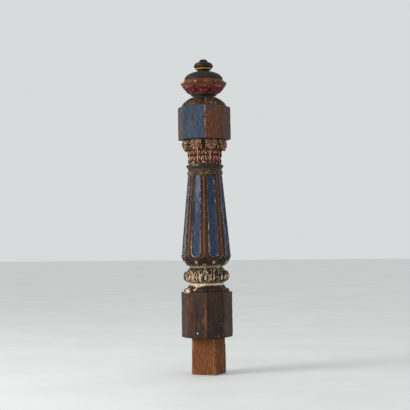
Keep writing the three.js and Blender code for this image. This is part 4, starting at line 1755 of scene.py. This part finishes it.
    def mark_faces(self, carving: Carving, corner: Array) -> None:
        """Marks how much blue, grey and dark paint each face has kept.

        Args:
            carving: The block's points.
            corner: How far each point is from the nearest upright edge.
        """
        share = (carving.level - HEIGHTS.level("upper_block")) / HEIGHTS.upper_block
        turn = np.sort([math.atan2(x, -y) % FULL_TURN for x, y in self.corners()])
        face = np.searchsorted(turn, carving.angle % FULL_TURN) % FACES
        patchy = Unevenness(self.patch_seed).rough(carving.points, self.patch_size)
        blue = np.choose(face, self.blue_left) - 0.35 * smooth(patchy, 0.56, 0.72) * (0.5 + share)
        top = smooth(share, 0.62, 0.95)
        blue = blue + 0.3 * top * (face == 1) * smooth(carving.degrees, 62, 44)
        carving.mark("blue", blue - 0.12 * (1 - smooth(corner, 0.5, 3)))
        carving.mark("grey", np.choose(face, self.grey_left))
        right_part = (face == 1) * smooth(carving.degrees, 55, 68)
        carving.mark("dark", np.choose(face, self.dark_left) + 0.16 * right_part)

    def mark_edges(self, carving: Carving, from_edges: list[Array], corner: Array) -> None:
        """Marks the bright worn edges and a painted glint of teal on the one at the front.

        Args:
            carving: The block's points.
            from_edges: How far each point is from each of the upright edges.
            corner: How far it is from the nearest one.
        """
        level = HEIGHTS.level("upper_block")
        share = (carving.level - level) / HEIGHTS.upper_block
        near = next(distance for distance, (x, y) in zip(from_edges, self.corners())
                    if x > 0 and y < 0 and abs(x) < abs(y))
        tall = 0.42 + 0.25 * smooth(share, 0.7, 0.9) + 0.1 * smooth(share, 0.3, 0.1)
        bright = tall * (1 - smooth(near, 0.8, 3.6)) + 0.26 * (1 - smooth(corner, 1, 3.5))
        carving.mark("bright", bright)
        from_touch = np.hypot(near, (carving.level - level - self.teal_height) / 1.6)
        # Painted glint: a small teal spot on the front edge.
        carving.mark("teal", 0.9 * smooth(from_touch, 4.2, 2.2))


@dataclass
class Dome(Section):
    """The dome of leaves on the upper block and the smooth collar at its top."""

    radius: float = 94.5
    collar_radius: float = 57
    collar_width: float = 7
    collar_drop: float = 6
    neck_radius: float = 42
    leaf_relief: float = 3.5
    lobes: float = 5.5
    veins: float = 6.5
    seed: int = 81
    step: float = 1.25
    sides: int = 512
    finish: OldFinish = OldFinish(
        "leaves_dark_with_gold",
        coats=(
            Coat((50, 35, 27), (70, 46, 33), 0.85, Pattern.FLAKES,
                 ragged=0.6, rubbed=0.1, roughness=0.5),
            Coat((150, 112, 68), (116, 84, 52), "gold", Pattern.FLAKES,
                 ragged=1.1, rubbed=-0.2, roughness=0.55),
            Coat((74, 46, 34), (56, 50, 34), "ground", Pattern.BLOTCHES,
                 ragged=1.0, rubbed=0.0, roughness=0.5),
            Coat((62, 66, 70), (50, 50, 52), "collar", Pattern.FLAKES,
                 ragged=0.5, rubbed=0.1, roughness=0.45),
        ),
    )

    def build(self) -> list[bpy.types.Object]:
        """Turns the dome and carves its leaves.

        Returns:
            The dome.
        """
        level, top = HEIGHTS.level("dome"), HEIGHTS.level("onion")
        outline = Outline(0, level - OVERLAP, self.step)
        outline.jump(self.radius, level - OVERLAP).line(self.radius, level + 2)
        outline.curve(self.radius - 2, level + HEIGHTS.dome * 0.46,
                      self.collar_radius, top - self.collar_drop)
        outline.line(self.collar_radius - self.collar_width, top - self.collar_drop * 0.6)
        outline.line(self.neck_radius - 1, top - self.collar_drop * 0.45)
        outline.jump(0, top - self.collar_drop * 0.45)
        return self.carved(Bench.spin("leaf_dome", outline, self.sides))

    def carve(self, carving: Carving) -> None:
        """Cuts eight leaves with their midribs, lobes and veins out of the dome.

        Args:
            carving: The dome's points.
        """
        level = HEIGHTS.level("dome")
        rise = HEIGHTS.dome - self.collar_drop
        fall = 0.5 * (carving.radius - self.collar_radius) / (self.radius - self.collar_radius)
        fall += 0.5 * (1 - (carving.level - level) / rise)
        face = nearest(carving.angle)
        lobe_turn = fall * self.lobes
        lobe = 1 - 0.14 * ridge(lobe_turn - np.round(lobe_turn), 0.3)
        half = CORNER * mixed(0.66, 0.98, smooth(fall, 0, 0.75)) * lobe
        aside = np.abs(face) / half
        on_leaf = smooth(aside, 1.0, 0.9)
        midrib = ridge(face * carving.radius, 2.6)
        vein_turn = fall * self.veins + aside * 1.6
        vein = ridge(vein_turn - np.round(vein_turn), 0.3) * smooth(aside, 0.05, 0.15)
        carved = smooth(fall, 0.0, 0.06) * smooth(carving.level, level - 1, level + 1)
        tip = ridge(carving.aside(CORNER), 7) * smooth(fall, 0.72, 0.95)
        depth = mixed(-self.leaf_relief, -1.9 + 1.5 * vein + 1.9 * midrib, on_leaf)
        depth = np.maximum(depth, -self.leaf_relief + 3.2 * tip)
        rough = Unevenness(self.seed).rough(carving.points, (6, 6, 8))
        carving.push(depth * carved - 0.6 * rough)
        shown = carved * on_leaf
        carving.mark("gold", 0.52 * shown * np.maximum(vein * 0.9, midrib) + 0.6 * tip + 0.04)
        carving.mark("ground", 0.45 * (1 - on_leaf) + 0.3)
        # Grime and painted shade where the cut is deep.
        carving.mark("hollow", 0.9 * carved * smooth(depth, -1.4, -3.0))
        carving.mark("collar", smooth(fall, 0.03, -0.02))


@dataclass
class Onion(Section):
    """The flat onion: a bowl of hanging petals, its rim, and a plain dome above."""

    neck_radius: float = 42
    neck_height: float = 4
    fillet_radius: float = 51.5
    fillet_height: float = 5
    bowl_height: float = 43
    bowl_foot: float = 56
    swell: float = 77
    rim_radius: float = 95.5
    rim_thickness: float = 5
    shoulder_radius: float = 80
    shoulder_height: float = 15
    dome_height: float = 36
    petal_relief: float = 3
    dots_a_face: int = 10
    dot_drop: float = 16.5
    seed: int = 91
    step: float = 1.45
    sides: int = 448
    finish: OldFinish = OldFinish(
        "crimson_petals",
        coats=(
            Coat((94, 22, 24), (66, 26, 24), 0.9, Pattern.FLAKES,
                 ragged=0.5, rubbed=0.1, roughness=0.5),
            Coat((172, 90, 78), (142, 58, 50), "pink", Pattern.FLAKES,
                 ragged=1.1, rubbed=-0.1, roughness=0.6),
            Coat((112, 60, 30), (84, 44, 25), "orange", Pattern.STREAKS,
                 ragged=0.5, rubbed=0.0, roughness=0.5),
            # Rim coat: a painted highlight along the rim's edge, and pale paint on the bead and the
            # dots.
            Coat((204, 150, 112), (160, 104, 68), "rim", Pattern.FLAKES,
                 ragged=1.0, rubbed=0.0, roughness=0.6),
            Coat((27, 34, 38), (46, 36, 30), "slate", Pattern.BLOTCHES,
                 ragged=0.5, rubbed=0.1, roughness=0.5),
            # Dark coat: on the neck and fillet under the bowl, and painted shade in the groove
            # under the rim.
            Coat((40, 33, 29), (50, 40, 34), "dark", Pattern.FLAKES,
                 ragged=0.3, rubbed=0.1, roughness=0.5),
        ),
    )

    def build(self) -> list[bpy.types.Object]:
        """Turns the onion and carves its petals.

        Returns:
            The onion.
        """
        start = HEIGHTS.level("onion")
        bowl, rim, dome = self.levels()
        outline = Outline(0, start - OVERLAP, self.step)
        outline.jump(self.neck_radius, start - OVERLAP)
        outline.line(self.neck_radius, start + self.neck_height)
        outline.line(self.fillet_radius, start + self.neck_height).line(self.fillet_radius, bowl)
        outline.line(self.bowl_foot, bowl)
        outline.curve(self.swell, bowl + self.bowl_height * 0.21, self.rim_radius, rim)
        shoulder = rim + self.rim_thickness
        outline.line(self.rim_radius, shoulder)
        outline.curve(self.shoulder_radius + 1, shoulder + self.shoulder_height * 0.4,
                      self.shoulder_radius, dome)
        outline.crown(self.dome_height)
        return self.carved(Bench.spin("onion", outline, self.sides))

    def levels(self) -> tuple[float, float, float]:
        """Where the bowl, the rim and the dome start.

        Returns:
            The three levels above the post's lowest point.
        """
        bowl = HEIGHTS.level("onion") + self.neck_height + self.fillet_height
        rim = bowl + self.bowl_height
        return bowl, rim, rim + self.rim_thickness + self.shoulder_height

    def carve(self, carving: Carving) -> None:
        """Cuts the hanging petals, the groove under the rim and the line above it.

        Args:
            carving: The onion's points.
        """
        level = carving.level
        bowl, rim, dome = self.levels()
        drop = (rim - level) / self.bowl_height
        aside = nearest(carving.angle, CORNER) / (CORNER * 0.97)
        arch = np.where(drop > 0.5, np.hypot(aside, (drop - 0.5) / 0.44), np.abs(aside))
        petals = smooth(drop, 0.26, 0.32) * smooth(drop, 1.0, 0.96)
        outer, inner = ridge(arch - 0.88, 0.12), ridge(arch - 0.62, 0.08)
        gap = smooth(arch, 0.98, 1.05)
        depth = petals * (-1.6 + 1.4 * outer + 1.1 * inner - (self.petal_relief - 1.6) * gap)
        groove = ridge(drop - 0.15, 0.07)
        bead = ridge(drop - 0.25, 0.055)
        depth += -2.4 * groove - 0.2 * bead
        dot_aside = carving.aside(0, SECTOR / self.dots_a_face)
        dot_reach = np.hypot(dot_aside / 2.4, (rim - level - self.dot_drop) / 3)
        dots = np.sqrt(np.clip(1 - dot_reach ** 2, 0, 1)) * (arch < 0.5)
        depth += 1.2 * dots
        depth -= 1.1 * ridge(level - dome + 2, 2.0)
        rough = Unevenness(self.seed).rough(carving.points, (12, 12, 9))
        carving.push(depth - 0.5 * rough)
        high = petals * np.maximum(0.5 * outer, 0.5 * inner) + 0.7 * dots
        foot_line = ridge(level - bowl - 1.5, 2)
        within = 0.22 * smooth(drop, 0.6, 0.3) * (arch < 0.6)
        carving.mark("pink", np.maximum(high, 0.6 * foot_line) + within)
        carving.mark("orange", 0.95 * (level > rim - self.bowl_height * 0.32))
        # Painted highlight along the rim's edge; the bead and the dots are pale paint.
        edge = smooth(level, rim - 2.5, rim) * smooth(level, rim + 9, rim + 4)
        carving.mark("rim", 0.4 * edge + 0.2 * bead + 0.8 * dots)
        # Grime and painted shade in the gaps between the petals and in the groove at the dome's
        # foot.
        carving.mark("hollow", np.maximum(0.4 * petals * gap, 0.9 * ridge(level - dome + 2, 3)))
        carving.mark("slate", smooth(level, dome - 9, dome + 5) * 0.98)
        below = smooth(level, bowl + 0.5, bowl - 0.5)
        # Dark coat on the neck and fillet under the bowl; in the groove under the rim it is painted
        # shade.
        carving.mark("dark", np.maximum(below, 0.46 * groove))


@dataclass
class Knob(Section):
    """The knob on top, a squashed ball with a button on it."""

    neck_radius: float = 23
    radius: float = 40.5
    rim_height: float = 18
    button_radius: float = 20
    button_height: float = 11
    button_top: float = 9
    seed: int = 95
    step: float = 1.3
    sides: int = 208
    finish: OldFinish = OldFinish(
        "dark_knob_with_gold_line",
        coats=(
            Coat((27, 22, 19), (42, 30, 24), 0.9, Pattern.FLAKES,
                 ragged=0.5, rubbed=0.15, roughness=0.5),
            Coat((84, 38, 28), (64, 40, 28), "red", Pattern.FLAKES,
                 ragged=1.1, rubbed=0.0, roughness=0.5),
            Coat((214, 178, 44), (196, 136, 38), "gold", Pattern.STREAKS,
                 ragged=0.4, rubbed=0.0, roughness=0.4),
            Coat((26, 44, 56), (30, 34, 60), "teal", Pattern.FLAKES,
                 ragged=0.3, rubbed=0.0, roughness=0.42),
        ),
    )

    def build(self) -> list[bpy.types.Object]:
        """Turns the knob and carves it.

        Returns:
            The knob.
        """
        level = HEIGHTS.level("knob")
        top = level + HEIGHTS.knob
        button = top - self.button_height
        outline = Outline(0, level - 2 * OVERLAP, self.step)
        outline.jump(self.neck_radius, level - 2 * OVERLAP).line(self.neck_radius, level + 1)
        outline.line(self.radius * 0.8, level + self.rim_height / 3)
        outline.line(self.radius, level + self.rim_height)
        outline.curve(self.radius * 0.97, button - 3, self.button_radius, button)
        outline.curve(self.button_radius * 0.8, button + self.button_height * 0.9,
                      self.button_top, top)
        outline.line(self.button_top / 2, top).jump(0, top)
        return self.carved(Bench.spin("knob", outline, self.sides))

    def carve(self, carving: Carving) -> None:
        """Cuts the line and the crease and marks the painted lines.

        Args:
            carving: The knob's points.
        """
        height = carving.level - HEIGHTS.level("knob")
        line = ridge(height - self.rim_height * 0.62, 1.8)
        crease = ridge(height - HEIGHTS.knob + self.button_height, 1.6)
        rough = Unevenness(self.seed).rough(carving.points, (11, 11, 9))
        shown = smooth(height, HEIGHTS.knob - 1, HEIGHTS.knob - 3)
        carving.push((-1.0 * line - 1.4 * crease - 0.6 * rough) * shown)
        gold = smooth(np.abs(height - self.rim_height * 0.42), 2.4, 1.5)
        carving.mark("gold", gold * 0.95)
        carving.mark("teal", smooth(height, 5, 4))
        carving.mark("red", 0.22 + 0.2 * smooth(height, 10, 16) * smooth(height, 34, 26))


@dataclass(frozen=True)
class Viewpoint:
    """The camera at the photograph's viewing angle, turned by the post's lean in it."""

    frame_px: int = 410
    focal_px: float = 1063
    distance: float = 4.40
    eye_level: float = 0.528
    azimuth: float = 25.6
    pitch: float = 2.17
    pan: float = 0.022
    lean: float = 0.84
    sensor: float = 36

    def build(self) -> bpy.types.Object:
        """Makes the scene's camera.

        Returns:
            The camera.
        """
        camera = bpy.data.objects.new("camera", bpy.data.cameras.new("camera"))
        bpy.context.scene.collection.objects.link(camera)
        camera.data.sensor_width = self.sensor
        camera.data.lens = self.focal_px / self.frame_px * self.sensor
        turn, pitch = math.radians(self.azimuth), math.radians(self.pitch)
        heading = turn + math.radians(self.pan)
        place = Vector((math.sin(turn) * self.distance, -math.cos(turn) * self.distance,
                        self.eye_level))
        look = Vector((-math.sin(heading) * math.cos(pitch), math.cos(heading) * math.cos(pitch),
                       math.sin(pitch)))
        upright = look.to_track_quat("-Z", "Y").to_matrix().to_4x4()
        lean = Matrix.Rotation(-math.radians(self.lean), 4, "Z")
        camera.matrix_world = Matrix.Translation(place) @ upright @ lean
        bpy.context.scene.camera = camera
        return camera


@dataclass(frozen=True)
class Studio:
    """A pale floor under soft light."""

    floor_size: float = 60
    floor_tones: tuple[Screen, Screen] = ((234, 236, 234), (228, 230, 228))
    sky: Screen = (232, 235, 236)
    sky_strength: float = 0.85
    key_power: float = 104
    key_size: float = 1.8
    key_place: Size = (-2.6, -3.0, 2.4)
    aim: Size = (0, 0, 0.65)

    def build(self) -> None:
        """Makes the floor, the sky and the key light."""
        Bench.clear()
        bpy.ops.mesh.primitive_plane_add(size=self.floor_size, location=(0, 0, 0))
        floor = bpy.context.object
        floor.name = "floor"
        nodes = Nodes("pale_floor")
        place = nodes.value("ShaderNodeTexCoord", {}, {}, "Object")
        tone = nodes.smooth(nodes.noise(place, (3.0, 3.0, 3.0), 1.3), 0.3, 0.7)
        light, shaded = (srgb(*colour) for colour in self.floor_tones)
        nodes.feed(nodes.shader, "Base Color", nodes.mix(tone, light, shaded))
        nodes.feed(nodes.shader, "Roughness", 0.7)
        floor.data.materials.append(nodes.material)
        world = bpy.data.worlds.new("soft_sky")
        bpy.context.scene.world = world
        world.use_nodes = True
        background = world.node_tree.nodes["Background"]
        background.inputs["Color"].default_value = (*srgb(*self.sky), 1)
        background.inputs["Strength"].default_value = self.sky_strength
        lamp = bpy.data.lights.new("key_light", "AREA")
        lamp.energy = self.key_power
        lamp.size = self.key_size
        key = bpy.data.objects.new("key_light", lamp)
        key.location = self.key_place
        aim = Vector(self.aim) - Vector(self.key_place)
        key.rotation_euler = aim.to_track_quat("-Z", "Y").to_euler()
        bpy.context.scene.collection.objects.link(key)
        bpy.context.scene.view_settings.view_transform = "Standard"


def main() -> None:
    """Builds the studio and then the post, from its tenon to its knob."""
    logging.basicConfig(level=logging.INFO, format="%(name)s %(message)s")
    Viewpoint().build()
    Studio().build()
    sections = (Tenon(), LowerBlock(), Torus(), Vase(), Capital(), Leaves(), Flowers(),
                UpperBlock(), Dome(), Onion(), Knob())
    for section in sections:
        section.dress(section.build())


if __name__ == "__main__":
    main()
